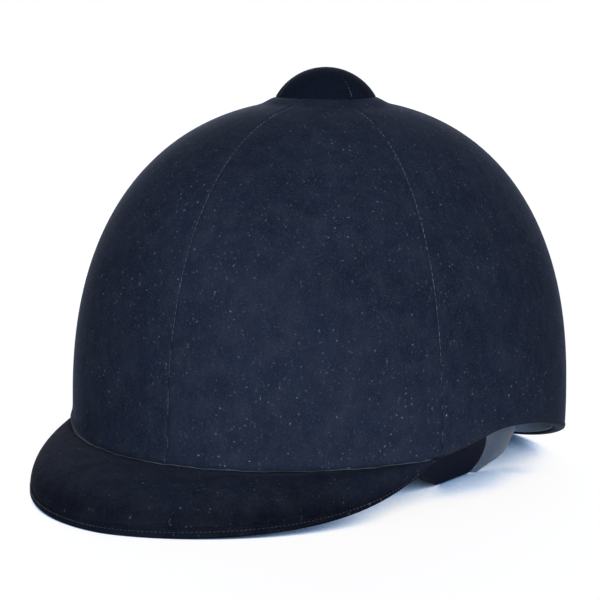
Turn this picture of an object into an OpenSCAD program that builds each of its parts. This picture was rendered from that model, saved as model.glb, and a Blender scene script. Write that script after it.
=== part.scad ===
// Velvet riding helmet: a six panel crown over a hard shell and impact foam, a covered
// peak, a round button, and a chin harness that lies unbuckled inside the crown.
// Front is -Y, the wearer's left is +X, and the hat rests on its peak and its nape.

/* [Crown] */
// Half of the crown's width at its widest level, over the velvet
half_width = 107; // [97:1:117]
// Crown's middle to its front at the widest level
front_reach = 129.8; // [118:0.2:142]
// Crown's middle to its rear at the widest level
rear_reach = 126.3; // [114:0.1:138]
// Widest level to the top of the crown
crown_height = 136.2; // [124:0.2:148]
// Squareness of the dome's front, where 2 is an ellipse
front_squareness = 2.4; // [2.2:0.05:2.6]
// Squareness of the dome's rear
rear_squareness = 2.31; // [2.2:0.01:2.6]
// Depth in which the wall under the widest level would close
tuck_depth = 110; // [90:5:150]

/* [Rim] */
// Brow rim, below the widest level
brow_drop = 5.4; // [4:0.2:7]
// Rim over the temple, above the widest level
temple_rise = 1.2; // [0:0.2:3]
// Nape rim, below the widest level
nape_drop = 35; // [30:1:40]
// Thickness of the tape that binds the rim
binding_wall = 0.7; // [0.5:0.1:1]
// Height of the tape on the outside
binding_outside = 3; // [2:0.5:5]
// Height of the tape on the inside
binding_inside = 5; // [3:0.5:5.5]

/* [Layers] */
// Thickness of the velvet with its backing
velvet_wall = 1.2; // [0.8:0.1:1.6]
// Wall of the hard shell
shell_wall = 3; // [2.5:0.1:3.6]
// Thickness of the impact foam
liner_wall = 17; // [15:0.5:19]
// Recess in the foam's outside for the harness anchors
liner_recess = 4.2; // [3.8:0.1:4.8]
// Top of that recess, above the widest level
recess_top = 31; // [28:1:36]
// Thickness of the padded headband
headband_wall = 3.5; // [2.5:0.25:4.5]
// Height of the headband
headband_height = 34; // [28:1:40]
// Gap between one curved layer and the next
layer_gap = 0.25; // [0.2:0.05:0.4]
// Gap between two velvet panels at their seam
seam_gap = 0.3; // [0.2:0.05:0.5]

/* [Peak] */
// How far the peak stands out from the brow
peak_reach = 47.4; // [40:0.2:56]
// How far the peak's edge drops below the brow rim
peak_drop = 18.3; // [14:0.1:22]
// Angle from the front at which the peak runs out over the temple
peak_angle = 60; // [55:1:64]
// Wall of the stiff peak
peak_wall = 2; // [1.5:0.1:2.5]
// Thickness of the cloth under the peak
under_wall = 0.8; // [0.6:0.1:1.2]
// Thickness of the tape round the peak's edge
edge_wall = 0.6; // [0.4:0.1:0.8]
// Height of the flange that fixes the peak inside the shell
flange_height = 13; // [11:1:18]

/* [Button] */
// Radius of the covered button
button_radius = 22.5; // [18:0.5:26]
// Height of the button
button_height = 14; // [11:0.5:17]
// Radius of the screw that holds the button
screw_radius = 2; // [1.5:0.1:2.5]
// Radius of the screw's washer
washer_radius = 6; // [5:0.5:7]

/* [Pads] */
// Thickness of the pads in the crown
pad_wall = 5; // [4:0.5:7]
// Height of the grey strap round the nape
nape_strap_height = 18; // [14:1:20]
// How far the strap's lower edge lies over the rim at the nape
nape_strap_rise = 12; // [9:0.5:14]
// Radius of the round pad at the top
crown_pad_radius = 42; // [34:1:50]

/* [Harness] */
// Depth of the strap bars inside the crown's widest outline
bar_inset = 19; // [18.5:0.25:20]
// Height of the strap bars over the table
bar_z = 34; // [33:0.5:35]
// Radius of the strap bars
bar_radius = 1.25; // [1:0.05:1.5]
// Width of a strap loop on its bar
loop_width = 20; // [16:1:22]
// Place of the front bar along the hat
front_bar_y = -12; // [-16:1:-8]
// Place of the rear bar along the hat
rear_bar_y = 41; // [37:1:45]
// Thickness of the sheet steel anchors
anchor_wall = 1.2; // [1:0.1:1.4]
// Height of an anchor's plate
anchor_height = 19; // [17:0.5:21]
// Radius of the rivets' shanks
rivet_radius = 1.6; // [1.3:0.1:2]
// Distance from the bars inwards to the fold in the harness
fold_inward = 19; // [17:0.5:21]
// Middle of the fold along the hat
fold_y = 26.5; // [24:0.5:29]
// Width of the harness at the fold
fold_width = 19; // [16:1:22]
// Thickness of the leather cheek pieces
cheek_wall = 2.4; // [1.8:0.2:3]
// How far a cheek piece swells beyond its loop
cheek_swell = 11; // [9:0.5:12]
// How far a cheek piece's rear edge bows out beyond the fold
cheek_bow = 2; // [0:0.5:3]
// Thickness of the webbing
webbing_wall = 1.6; // [1.2:0.1:2]
// Width of the rear strap's webbing
rear_web_width = 25; // [20:1:28]
// How far the webbing's rear edge bows out behind its bar
rear_web_bow = 8.5; // [2:0.5:9]
// Distance from the fold inwards to the chin strap's rivet
rivet_inward = 17; // [15:0.5:18]
// Angle at which the chin straps lie side by side
strap_skew = 16; // [15:1:18]
// Width of the chin strap
strap_width = 20; // [16:1:20]
// Length of each chin strap beyond its rivet
strap_length = 76; // [70:1:78]
// Width of the buckle's socket
socket_width = 30; // [28:1:31]
// Length of the buckle's socket
socket_length = 28; // [24:1:30]
// Thickness of the buckle
buckle_wall = 8.4; // [7.6:0.2:9]
// Thickness of the chin pad
chin_pad_wall = 6.4; // [5.6:0.2:7]
// Running clearance of bores and slots
clearance = 0.05; // [0.03:0.01:0.08]
// Free gap between pieces that don't touch
free_gap = 0.3; // [0.25:0.05:0.4]

/* [Hidden] */
$fn = 48;

// Insets of the layers, from the velvet's outside inwards
shell_out = velvet_wall + layer_gap;
shell_in = shell_out + shell_wall;
liner_out = shell_in + layer_gap;
liner_in = liner_out + liner_wall;
headband_out = liner_in + layer_gap;
headband_in = headband_out + headband_wall;
pad_gap = 0.45;
pad_out = liner_in + pad_gap;
tape_gap = 0.15;

// Grid that all the layers share
az_step = 7.5;
columns = 360 / az_step;
dome_rows = 12;
band_rows = 5;
stud_turn = 0.6;
collar_turn = 3.1;

// Levels of the rim along the crown
front_end = peak_angle - 2;
temple_az = 78;
nape_az = 165;
rim_curve = 1.65;
anchor_rise_az = 38;
anchor_start_az = 58;
anchor_end_az = 106;
anchor_fall_az = 132;
liner_lift = 9;
anchor_level = 11.5;
headband_lower = 1.5;

// Seat of the crown on the table
edge_low = brow_drop + peak_drop;
peak_front = front_reach + peak_reach;
nape_reach = rear_reach * share(180, -nape_drop, 0);
seat_tilt = atan((nape_drop - edge_low) / (nape_reach + peak_front));
foot_cut = 0.3;
seat_z = nape_drop * cos(seat_tilt) - nape_reach * sin(seat_tilt) - foot_cut;
seat_y = (peak_front * cos(seat_tilt) - edge_low * sin(seat_tilt) - rear_reach) / 2;

// Harness, in the frame of the table
bar_x = half_width - bar_inset;
fold_x = bar_x - fold_inward;
rivet_x = fold_x - rivet_inward;
fold_z = cheek_wall / 2;
slope = atan((bar_x - fold_x) / (bar_z - fold_z));
slope_length = norm([bar_x - fold_x, bar_z - fold_z]);
loop_bore = bar_radius + clearance;
loop_radius = loop_bore + webbing_wall;
ear_wall = 2;
strap_low = cheek_wall + 0.2;
strap_top = strap_low + webbing_wall;

module seated() { translate([0, seat_y, seat_z]) rotate([seat_tilt, 0, 0]) children(); }

function mix(a, b, t) = a + (b - a) * t;
function ease(t) = let (c = min(max(t, 0), 1)) c * c * (3 - 2 * c);
function folded(az) = let (a = abs(az) % 360) a > 180 ? 360 - a : a;

// Height of the rim, from the widest level, at an angle from the front
function rim(az) = let (a = folded(az))
    a < temple_az
        ? mix(-brow_drop, temple_rise, ease((a - front_end) / (temple_az - front_end)))
        : mix(temple_rise, -nape_drop,
              pow(sin(90 * min((a - temple_az) / (nape_az - temple_az), 1)), rim_curve));

// Lower edge of the foam, which is raised where the anchors pass under it
function liner_base(az) = let (a = folded(az), low = rim(a) + liner_lift)
    mix(max(low, mix(low, anchor_level, ease((a - anchor_rise_az) / (anchor_start_az - anchor_rise_az)))), low,
        ease((a - anchor_end_az) / (anchor_fall_az - anchor_end_az)));

function squareness(az) = mix(rear_squareness, front_squareness, (1 + cos(az)) / 2);
function reach(az) = cos(az) > 0 ? front_reach : rear_reach;

// Share of the full width that the wall has at height z
function share(az, z, inset) = let (n = squareness(az), top = z > 0 ? crown_height - inset : tuck_depth)
    pow(1 - pow(min(abs(z) / top, 1), n), 1 / n);

function at_share(az, z, inset, k) =
    [(half_width - inset) * sin(az) * k, -(reach(az) - inset) * cos(az) * k, z];
function wall_point(az, z, inset) = at_share(az, z, inset, share(az, z, inset));

// Point of the dome at a turn from the top, 0, to the widest level, 90
function dome_point(az, turn, inset) = let (k = 2 / squareness(az))
    at_share(az, (crown_height - inset) * pow(cos(turn), k), inset, pow(sin(turn), k));
function band_turn(az) = acos(pow(recess_top / crown_height, squareness(az) / 2));
function dome_turn(az, i) =
    i == 0 ? stud_turn : mix(collar_turn, band_turn(az), (i - 1) / (dome_rows - 1));
function band_z(inset) = (crown_height - inset) * recess_top / crown_height;

// Rows of one surface, from ring number first down to the level that low gives
function dome_grid(azs, inset, first) =
    [for (i = [first:dome_rows]) [for (az = azs) dome_point(az, dome_turn(az, i), inset)]];
function band_grid(azs, inset, top, lows, first = 1) =
    [for (j = [first:band_rows])
        [for (c = [0:len(azs) - 1])
            wall_point(azs[c], mix(top, lows[c], j / band_rows), inset)]];
function skin_grid(azs, inset, lows, first) =
    concat(dome_grid(azs, inset, first), band_grid(azs, inset, band_z(inset), lows));

// Inside half width of a layer at a place of the table's frame
function wall_x(y, z, inset) =
    let (dy = y - seat_y, dz = z - seat_z,
         cy = dy * cos(seat_tilt) + dz * sin(seat_tilt),
         cz = dz * cos(seat_tilt) - dy * sin(seat_tilt),
         n = (front_squareness + rear_squareness) / 2,
         k = pow(1 - pow(abs(cz) / (cz > 0 ? crown_height - inset : tuck_depth), n), 1 / n),
         r = (cy < 0 ? front_reach : rear_reach) - inset)
    (half_width - inset) * sqrt(k * k - pow(cy / r, 2));

// Points of a cubic curve, without its last one
function curve(a, b, c, d, steps = 6) =
    [for (i = [0:steps - 1]) let (t = i / steps, s = 1 - t)
        s * s * s * a + 3 * s * s * t * b + 3 * s * t * t * c + t * t * t * d];

// Closed solid between an outer and an inner grid of points
module layer(outer, inner, wrap = false) {
    rows = len(outer);
    cols = len(outer[0]);
    half = rows * cols;
    last = wrap ? cols - 1 : cols - 2;
    function o(r, c) = r * cols + c % cols;
    function i(r, c) = half + o(r, c);
    bottom = rows - 1;
    side = cols - 1;
    polyhedron(
        points = concat([for (row = outer) each row], [for (row = inner) each row]),
        faces = concat(
            [for (r = [0:rows - 2], c = [0:last]) [o(r, c), o(r, c + 1), o(r + 1, c + 1)]],
            [for (r = [0:rows - 2], c = [0:last]) [o(r, c), o(r + 1, c + 1), o(r + 1, c)]],
            [for (r = [0:rows - 2], c = [0:last]) [i(r, c), i(r + 1, c + 1), i(r, c + 1)]],
            [for (r = [0:rows - 2], c = [0:last]) [i(r, c), i(r + 1, c), i(r + 1, c + 1)]],
            [for (c = [0:last]) [o(0, c + 1), o(0, c), i(0, c)]],
            [for (c = [0:last]) [o(0, c + 1), i(0, c), i(0, c + 1)]],
            [for (c = [0:last]) [o(bottom, c), o(bottom, c + 1), i(bottom, c + 1)]],
            [for (c = [0:last]) [o(bottom, c), i(bottom, c + 1), i(bottom, c)]],
            wrap ? [] : concat(
                [for (r = [0:rows - 2]) [o(r, 0), o(r + 1, 0), i(r + 1, 0)]],
                [for (r = [0:rows - 2]) [o(r, 0), i(r + 1, 0), i(r, 0)]],
                [for (r = [0:rows - 2]) [o(r + 1, side), o(r, side), i(r, side)]],
                [for (r = [0:rows - 2]) [o(r + 1, side), i(r, side), i(r + 1, side)]])),
        convexity = 8);
}

full_turn = [for (c = [0:columns - 1]) c * az_step];

// Lower edge of a velvet panel: on the peak at the brow, in the rim tape elsewhere
function hem(az) = let (a = folded(az))
    rim(az) + (a < front_end ? free_gap - top_cover_depth * peak_thin(a) : binding_wall + tape_gap);

// One velvet panel between two seams
module panel(number) {
    start = number * 60;
    slack = asin(seam_gap / 2 / half_width);
    azs = [for (c = [0:60 / az_step])
        let (az = start + c * az_step)
        c == 0 ? az + slack : c == 60 / az_step ? az - slack : az];
    lows = [for (az = azs) hem(az)];
    color([0.12, 0.15, 0.2]) seated() layer(skin_grid(azs, 0, lows, 1), skin_grid(azs, velvet_wall, lows, 1));
}

module panel_front_left() { panel(0); }
module panel_side_left() { panel(1); }
module panel_rear_left() { panel(2); }
module panel_rear_right() { panel(3); }
module panel_side_right() { panel(4); }
module panel_front_right() { panel(5); }

// Flat rests under the nape and under the peak's edge
module on_table() {
    difference() {
        children();
        translate([-half_width, -2 * peak_front, -nape_drop])
            cube([2 * half_width, 4 * peak_front, nape_drop]);
    }
}

// Tape folded round the shell's and the velvet's lower edges
module rim_binding() {
    out = binding_wall;
    play = 0.1;
    leg = shell_in + 2 * tape_gap;
    start = front_end + 0.6;
    azs = concat([start], [for (az = full_turn) if (folded(az) > start + 1) az], [360 - start]);
    function ring(inset, lift) = [for (az = azs) wall_point(az, rim(az) + lift, inset)];
    color([0.1, 0.12, 0.17]) on_table() seated() layer(
        [ring(-out, binding_outside), ring(-out, 0), ring(leg + out, 0), ring(leg + out, binding_inside)],
        [ring(-play, binding_outside), ring(-play, out), ring(leg, out), ring(leg, binding_inside)]);
}

// Hard shell with its rivet holes
module outer_shell() {
    lows = [for (az = full_turn) rim(az) + binding_wall + 2 * tape_gap];
    color([0.2, 0.2, 0.22]) difference() {
        seated() layer(skin_grid(full_turn, shell_out, lows, 0), skin_grid(full_turn, shell_in, lows, 0),
            wrap = true);
        for (side = [1, -1], y = [front_bar_y, rear_bar_y]) anchor_rivet_place(side, y) rivet(clearance);
        seated() for (az = peak_rivet_azs) peak_rivet_place(az) rivet(clearance);
    }
}

// Impact foam, open at the top for the button's screw
module impact_liner() {
    lows = [for (az = full_turn) liner_base(az)];
    ledge = 1.2;
    color([0.85, 0.85, 0.85]) seated() layer(
        concat(dome_grid(full_turn, liner_out, 1),
            band_grid(full_turn, liner_out + liner_recess, band_z(liner_out) - ledge, lows, 0)),
        concat(dome_grid(full_turn, liner_in, 1),
            band_grid(full_turn, liner_in, band_z(liner_in) - ledge, lows, 0)),
        wrap = true);
}

// Padded band round the head, thickest along its middle
module headband() {
    steps = 4;
    base = [for (az = full_turn) liner_base(az) - headband_lower];
    function ring(k, inset) = [for (c = [0:columns - 1])
        wall_point(full_turn[c], base[c] + headband_height * k, inset)];
    function bulge(k) = headband_out + headband_wall * (0.45 + 0.55 * (1 - pow(abs(2 * k - 1), 3)));
    color([0.08, 0.09, 0.12]) seated() layer(
        [for (j = [0:steps]) ring(1 - j / steps, headband_out)],
        [for (j = [0:steps]) ring(1 - j / steps, bulge(1 - j / steps))],
        wrap = true);
}

// Crowned cushion on the foam between two angles and two turns of the dome
module cushion(az_from, az_to, turn_from, turn_to) {
    rows = 6;
    cols = 8;
    edge = 0.3;
    function draw(k) = 0.06 * (1 - pow(2 * k - 1, 2));
    function place(u, v, inset) =
        dome_point(mix(az_from, az_to, mix(draw(v), 1 - draw(v), u)),
                   mix(turn_from, turn_to, mix(draw(u), 1 - draw(u), v)), inset);
    function crown(u, v) = pad_wall * mix(edge, 1, (1 - pow(abs(2 * u - 1), 4)) * (1 - pow(abs(2 * v - 1), 2.5)));
    color([0.09, 0.1, 0.13]) seated() layer(
        [for (j = [0:rows]) [for (i = [0:cols]) place(i / cols, j / rows, pad_out)]],
        [for (j = [0:rows]) [for (i = [0:cols])
            place(i / cols, j / rows, pad_out + crown(i / cols, j / rows))]]);
}

module brow_pad() { cushion(-37.5, 37.5, 46, 64); }
module nape_pad() { cushion(142.5, 217.5, 52, 76); }
module side_pad_left() { cushion(60, 112.5, 40, 62); }
module side_pad_right() { cushion(247.5, 300, 40, 62); }

// Round cushion at the top with a sewn hole in its middle
module crown_pad() {
    rows = 5;
    hole = 8;
    azs = [for (c = [0:2:columns - 1]) c * az_step];
    function place(az, k, inset) =
        let (r = mix(hole, crown_pad_radius, k) / half_width)
        dome_point(az, asin(pow(r, squareness(az) / 2)), inset);
    function crown(k) = pad_wall * mix(0.3, 1.3, 1 - pow(abs(2 * k - 1), 2.5));
    color([0.09, 0.1, 0.13]) seated() layer(
        [for (j = [0:rows]) [for (az = azs) place(az, j / rows, pad_out + 0.25)]],
        [for (j = [0:rows]) [for (az = azs) place(az, j / rows, pad_out + 0.25 + crown(j / rows))]],
        wrap = true);
}

// Grey strap sewn inside the headband round the nape
module nape_strap() {
    ends_az = 112.5;
    azs = [for (az = full_turn) if (folded(az) >= ends_az) az];
    inset = headband_in + free_gap;
    function low(az) = mix(-nape_drop / 2, nape_strap_rise - nape_drop, ease((folded(az) - ends_az) / 50));
    function ring(k, depth) = [for (az = azs) wall_point(az, low(az) + nape_strap_height * k, inset + depth)];
    color([0.35, 0.4, 0.47]) seated() layer(
        [ring(1, 0), ring(0.5, 0), ring(0, 0)],
        [ring(1, webbing_wall), ring(0.5, webbing_wall), ring(0, webbing_wall)]);
}

// Peak section: distance out from the crown and drop under the brow rim
function peak_u(az) = min(abs(az) / peak_angle, 1);
function peak_out(az) = peak_reach * pow(1 - pow(peak_u(az), 1.587), 1.37);
function peak_fall(az) = peak_drop * pow(1 - pow(peak_u(az), 4.517), 1.37);
function peak_thin(az) = 1 - pow(peak_u(az), 6);
function peak_curve(az, turn) =
    [peak_out(az) * pow(sin(turn), 1.67), -peak_fall(az) * pow(1 - cos(turn), 2)];
function peak_normal(az, turn) =
    let (t = peak_curve(az, min(turn + 1, 90)) - peak_curve(az, max(turn - 1, 0)), l = norm(t))
    [t.y / l, -t.x / l];

// Point under the peak's top skin by depth, lifted off the lip's lowest line
function peak_point(az, turn, depth, lift = 0) =
    let (p = peak_curve(az, turn) + depth * peak_thin(az) * peak_normal(az, turn),
         base = wall_point(az, rim(az), 0),
         k = norm([base.x, base.y]))
    [base.x * (k + p.x) / k, base.y * (k + p.x) / k, rim(az) + p.y + lift * peak_thin(az)];
function under_shell(az, inset, depth) =
    let (p = wall_point(az, rim(az), inset)) [p.x, p.y, rim(az) - depth * peak_thin(az)];

peak_tip = peak_angle - 2.5;
peak_azs = concat([-peak_tip], [for (c = [-8:8]) if (abs(c * az_step) < peak_tip - 1) c * az_step], [peak_tip]);
peak_turns = [12, 30, 48, 63, 77, 90];
cloth_gap = 0.2;
top_cover_depth = edge_wall + cloth_gap;
core_depth = top_cover_depth + velvet_wall + cloth_gap;
under_depth = core_depth + peak_wall + cloth_gap;
peak_depth = under_depth + under_wall + cloth_gap + edge_wall;
lip_lift = edge_wall + cloth_gap;

function lip_rise(turn) = lip_lift * pow(sin(turn), 8);
function peak_rows(depth) =
    [for (t = peak_turns) [for (az = peak_azs) peak_point(az, t, depth, lip_rise(t))]];
function brow_row(inset, depth) = [for (az = peak_azs) under_shell(az, inset, depth)];

// Velvet over the peak, tucked in under the shell's edge
module peak_top_cover() {
    low = top_cover_depth + velvet_wall;
    color([0.1, 0.12, 0.16]) seated() layer(
        concat([brow_row(shell_in, top_cover_depth), brow_row(0, top_cover_depth)], peak_rows(top_cover_depth)),
        concat([brow_row(shell_in, low), brow_row(0, low)], peak_rows(low)));
}

// Stiff peak with the flange that stands up inside the shell
module peak_core() {
    low = core_depth + peak_wall;
    flange_out = shell_in + 0.4;
    flange_in = flange_out + peak_wall;
    function flange(inset) = [for (az = peak_azs) wall_point(az, rim(az) + flange_height * peak_thin(az), inset)];
    color([0.16, 0.16, 0.18]) seated() difference() {
        layer(
            concat([flange(flange_out), brow_row(flange_out, core_depth), brow_row(0, core_depth)],
                peak_rows(core_depth)),
            concat([flange(flange_in), brow_row(flange_in, low), brow_row(0, low)], peak_rows(low)));
        for (az = peak_rivet_azs) peak_rivet_place(az) rivet(clearance);
    }
}

// Smooth cloth under the peak
module peak_under_cover() {
    low = under_depth + under_wall;
    inset = shell_in + cloth_gap;
    color([0.07, 0.08, 0.11]) seated() layer(
        concat([brow_row(inset, under_depth), brow_row(0, under_depth)], peak_rows(under_depth)),
        concat([brow_row(inset, low), brow_row(0, low)], peak_rows(low)));
}

// Tape folded round the peak's edge
module peak_edge_binding() {
    leg_turn = 77;
    inner = peak_depth - edge_wall;
    function row(turn, depth, lift) = [for (az = peak_azs) peak_point(az, turn, depth, lift)];
    color([0.1, 0.12, 0.17]) on_table() seated() layer(
        [row(leg_turn, 0, 0), row(90, 0, 0), row(90, peak_depth, 0), row(leg_turn, peak_depth, 0)],
        [row(leg_turn, edge_wall, 0), row(90, edge_wall, edge_wall), row(90, inner, edge_wall),
         row(leg_turn, inner, 0)]);
}

// Countersunk rivet along +X, with its flush head's face at the origin
rivet_sink = 0.7;
rivet_head = 1.2;
module rivet(play, grip = 6) {
    rotate([0, -90, 0]) {
        cylinder(h = rivet_head, r1 = 2 * rivet_radius + play, r2 = rivet_radius + play);
        translate([0, 0, rivet_head - 0.01]) cylinder(h = grip, r = rivet_radius + play);
        if (play > 0) translate([0, 0, -2]) cylinder(h = 2.01, r = 2 * rivet_radius + play);
    }
}

// Places of the rivets, on the shell's outside and square to it
peak_rivet_azs = [-30, 0, 30];
module peak_rivet_place(az) {
    z = rim(az) + flange_height - 3 * rivet_radius;
    p = wall_point(az, z, shell_out + rivet_sink);
    t = wall_point(az + 1, z, shell_out) - wall_point(az - 1, z, shell_out);
    translate(p) rotate([0, 0, atan2(t.y, t.x) - 90]) children();
}

module anchor_rivet_place(side, y) {
    z = anchor_base + 0.63 * anchor_height;
    x = wall_x(y, z, shell_out + rivet_sink);
    t = wall_x(y + 1, z, shell_out) - wall_x(y - 1, z, shell_out);
    mirror([side < 0 ? 1 : 0, 0, 0]) translate([x, y, z]) rotate([0, 0, atan2(2, t) - 90]) children();
}

module rivet_with_head(grip) {
    rivet(0, grip - rivet_head);
    translate([-grip - 0.9, 0, 0]) rotate([0, 90, 0]) cylinder(h = 1, r = 1.6 * rivet_radius);
}

module peak_rivets() {
    color("silver") seated() for (az = peak_rivet_azs)
        peak_rivet_place(az) rivet_with_head(shell_wall + peak_wall + 1 - rivet_sink);
}

// Bent steel anchor: a plate riveted inside the shell, a shelf under the foam and a bar
anchor_base = bar_z + loop_radius + 1;
anchor_top = anchor_base + anchor_height;
anchor_half = loop_width / 2;
ear_half = 2;
module anchor(side, y) {
    far = anchor_half;
    a = [wall_x(y - far, anchor_top, shell_in) - free_gap, y - far];
    b = [wall_x(y + far, anchor_top, shell_in) - free_gap, y + far];
    n = [b.y - a.y, a.x - b.x] / norm(b - a) * anchor_wall;
    ear = anchor_half + free_gap;
    color("silver") mirror([side < 0 ? 1 : 0, 0, 0]) difference() {
        union() {
            translate([0, 0, anchor_base]) linear_extrude(anchor_top - anchor_base) polygon([a, b, b - n, a - n]);
            translate([0, 0, anchor_base]) linear_extrude(anchor_wall) polygon([
                a, b, [bar_x + ear_half, y + ear + ear_wall], [bar_x - ear_half, y + ear + ear_wall],
                [bar_x - ear_half, y - ear - ear_wall], [bar_x + ear_half, y - ear - ear_wall]]);
            for (k = [-1, 1]) translate([bar_x, y + k * (ear + ear_wall / 2), bar_z])
                rotate([90, 0, 0]) linear_extrude(ear_wall, center = true) {
                    translate([-ear_half, 0]) square([2 * ear_half, anchor_base - bar_z + anchor_wall]);
                    circle(ear_half);
                }
            translate([bar_x, y, bar_z]) rotate([90, 0, 0])
                cylinder(h = 2 * ear + 2 * ear_wall, r = bar_radius, center = true);
        }
        mirror([side < 0 ? 1 : 0, 0, 0]) anchor_rivet_place(side, y) rivet(clearance, 12);
    }
}

module anchor_front_left() { anchor(1, front_bar_y); }
module anchor_rear_left() { anchor(1, rear_bar_y); }
module anchor_front_right() { anchor(-1, front_bar_y); }
module anchor_rear_right() { anchor(-1, rear_bar_y); }

module anchor_rivets() {
    color("silver") for (side = [1, -1], y = [front_bar_y, rear_bar_y])
        anchor_rivet_place(side, y) rivet_with_head(shell_wall + anchor_wall + 1.7 - rivet_sink);
}

// Button: a turned core, screwed down through the shell, under a velvet cap
collar = dome_point(90, collar_turn, 0).x;
button_base = crown_height + free_gap;
button_dish = 0.7;
button_rise = button_height + button_dish;
button_ball = (pow(button_radius, 2) + pow(button_rise, 2)) / 2 / button_rise;
dish_ball = pow(button_radius, 2) / 2 / button_dish;
button_fold = 0.6 * button_radius;

// Half section of the button under its rounded top, above its dished foot
module button_section(inset, foot) {
    difference() {
        intersection() {
            translate([0, button_height - button_ball]) circle(button_ball - inset, $fn = 96);
            translate([0, -button_height]) square([2 * button_radius, 3 * button_height]);
        }
        translate([0, foot - dish_ball]) circle(dish_ball, $fn = 360);
        translate([0, -button_height]) square([2 * button_radius, button_height - 2 * button_dish]);
    }
}

module button_cover() {
    color([0.07, 0.1, 0.15]) seated() translate([0, 0, button_base]) rotate_extrude() difference() {
        button_section(0, 0);
        button_section(velvet_wall, velvet_wall);
        translate([0, -button_dish]) square([button_fold, button_dish + velvet_wall]);
    }
}

module button_core() {
    gap = tape_gap;
    color([0.3, 0.25, 0.2]) seated() translate([0, 0, button_base]) difference() {
        union() {
            rotate_extrude() button_section(velvet_wall + gap, velvet_wall + gap);
            translate([0, 0, -velvet_wall - free_gap]) cylinder(h = 3 * velvet_wall, r = collar - 1);
        }
        translate([0, 0, -button_height / 4]) cylinder(h = 0.7 * button_height, r = screw_radius + clearance);
    }
}

screw_seat = crown_height - shell_in - tape_gap;
washer_wall = 1;
module button_washer() {
    color("silver") seated() translate([0, 0, screw_seat - washer_wall]) difference() {
        cylinder(h = washer_wall, r = washer_radius);
        translate([0, 0, -1]) cylinder(h = washer_wall + 2, r = screw_radius + clearance);
    }
}

module button_screw() {
    head = 1.3 * screw_radius;
    color("silver") seated() translate([0, 0, screw_seat - washer_wall - head]) {
        difference() {
            cylinder(h = head, r = 1.9 * screw_radius);
            translate([0, 0, -1]) cylinder(h = 1 + head / 2, r = 0.65 * screw_radius, $fn = 6);
        }
        translate([0, 0, head - 0.01])
            cylinder(h = shell_in + washer_wall + 0.4 * button_height, r = screw_radius);
    }
}

// Plane of the hanging harness: z runs up the slope to the bar, x outwards
module on_slope(side) {
    mirror([side < 0 ? 1 : 0, 0, 0]) translate([bar_x, 0, bar_z]) rotate([0, slope, 0]) children();
}

// Plate in that plane, from an outline of places along the hat and depths under the bar
module hanging_plate(points, x, wall) {
    translate([x, 0, 0]) rotate([90, 0, 90]) linear_extrude(wall) polygon([for (p = points) [p.x, -p.y]]);
}

module strap_loop(y) {
    translate([0, y, 0]) rotate([90, 0, 0]) difference() {
        cylinder(h = loop_width, r = loop_radius, center = true);
        cylinder(h = loop_width + 2, r = loop_bore, center = true);
    }
}

// Leather cheek piece from the front bar down to the fold
module cheek_piece(side) {
    y = front_bar_y;
    w = loop_width / 2;
    low = slope_length;
    s = cheek_swell;
    l = fold_y - fold_width / 2;
    r = fold_y + fold_width / 2;
    front = y - w - s;
    shoulder = [y + w + 1.1 * s, 0.7 * s];
    notch = 2 * loop_radius + 1;
    color([0.07, 0.08, 0.13]) on_slope(side) difference() {
        union() {
            strap_loop(y);
            hanging_plate(concat(
                [[y - w, 0]],
                curve([y - w, 0.35 * s], [y - w - 0.8 * s, 0.55 * s], [front, 0.9 * s], [front, 1.35 * s]),
                curve([front, 1.35 * s], [front, 2.7 * s], [l - 1.3 * s, low - 0.1 * s], [l, low]),
                [[l, low], [r, low]],
                curve([r + cheek_bow, low - 0.6 * s], [r + 0.5, low - 1.7 * s], [y + w + 2.3 * s, s], shoulder),
                curve(shoulder, [y + w + 0.45 * s, 0.55 * s], [y + w, 0.55 * s], [y + w, 0.3 * s]),
                [[y + w, 0]]), -cheek_wall / 2, cheek_wall);
            translate([0, fold_y, -low]) rotate([90, 0, 0])
                cylinder(h = fold_width, r = cheek_wall / 2, center = true);
        }
        translate([0, y, 0]) rotate([90, 0, 0]) cylinder(h = 3 * loop_width, r = loop_bore, center = true);
        for (k = [-1, 1]) translate([0, y + k * (w + loop_width), 0])
            cube([notch, 2 * loop_width, notch], center = true);
    }
}

// Webbing from the rear bar, inside the cheek piece, down to the fold
module rear_web(side) {
    y = rear_bar_y;
    w = loop_width / 2;
    top = loop_radius + 2;
    low = slope_length - 3 * webbing_wall;
    in = -cheek_wall / 2 - cloth_gap - webbing_wall;
    half = rear_web_width / 2;
    chamfer = rear_web_width / 4;
    bend = (top + low) / 2;
    color([0.35, 0.4, 0.47]) on_slope(side) difference() {
        union() {
            strap_loop(y);
            hanging_plate([[y - w, 0], [y - w, top], [y + w, top], [y + w, 0]],
                -loop_radius, webbing_wall);
            hanging_plate(concat(
                curve([y + half, top - 1], [y + half + rear_web_bow, bend], [y + half + rear_web_bow, low],
                    [fold_y + half - chamfer, low]),
                [[fold_y + half - chamfer, low], [fold_y - half + chamfer, low], [fold_y - half, low - chamfer],
                    [y - half - 3, bend], [y - half, top - 1]]), in, webbing_wall);
        }
        translate([0, y, 0]) rotate([90, 0, 0]) cylinder(h = loop_width + 2, r = loop_bore, center = true);
    }
}

module cheek_piece_left() { cheek_piece(1); }
module cheek_piece_right() { cheek_piece(-1); }
module rear_web_left() { rear_web(1); }
module rear_web_right() { rear_web(-1); }

strap_back = 8;
rivet_recess = 1;
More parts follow.
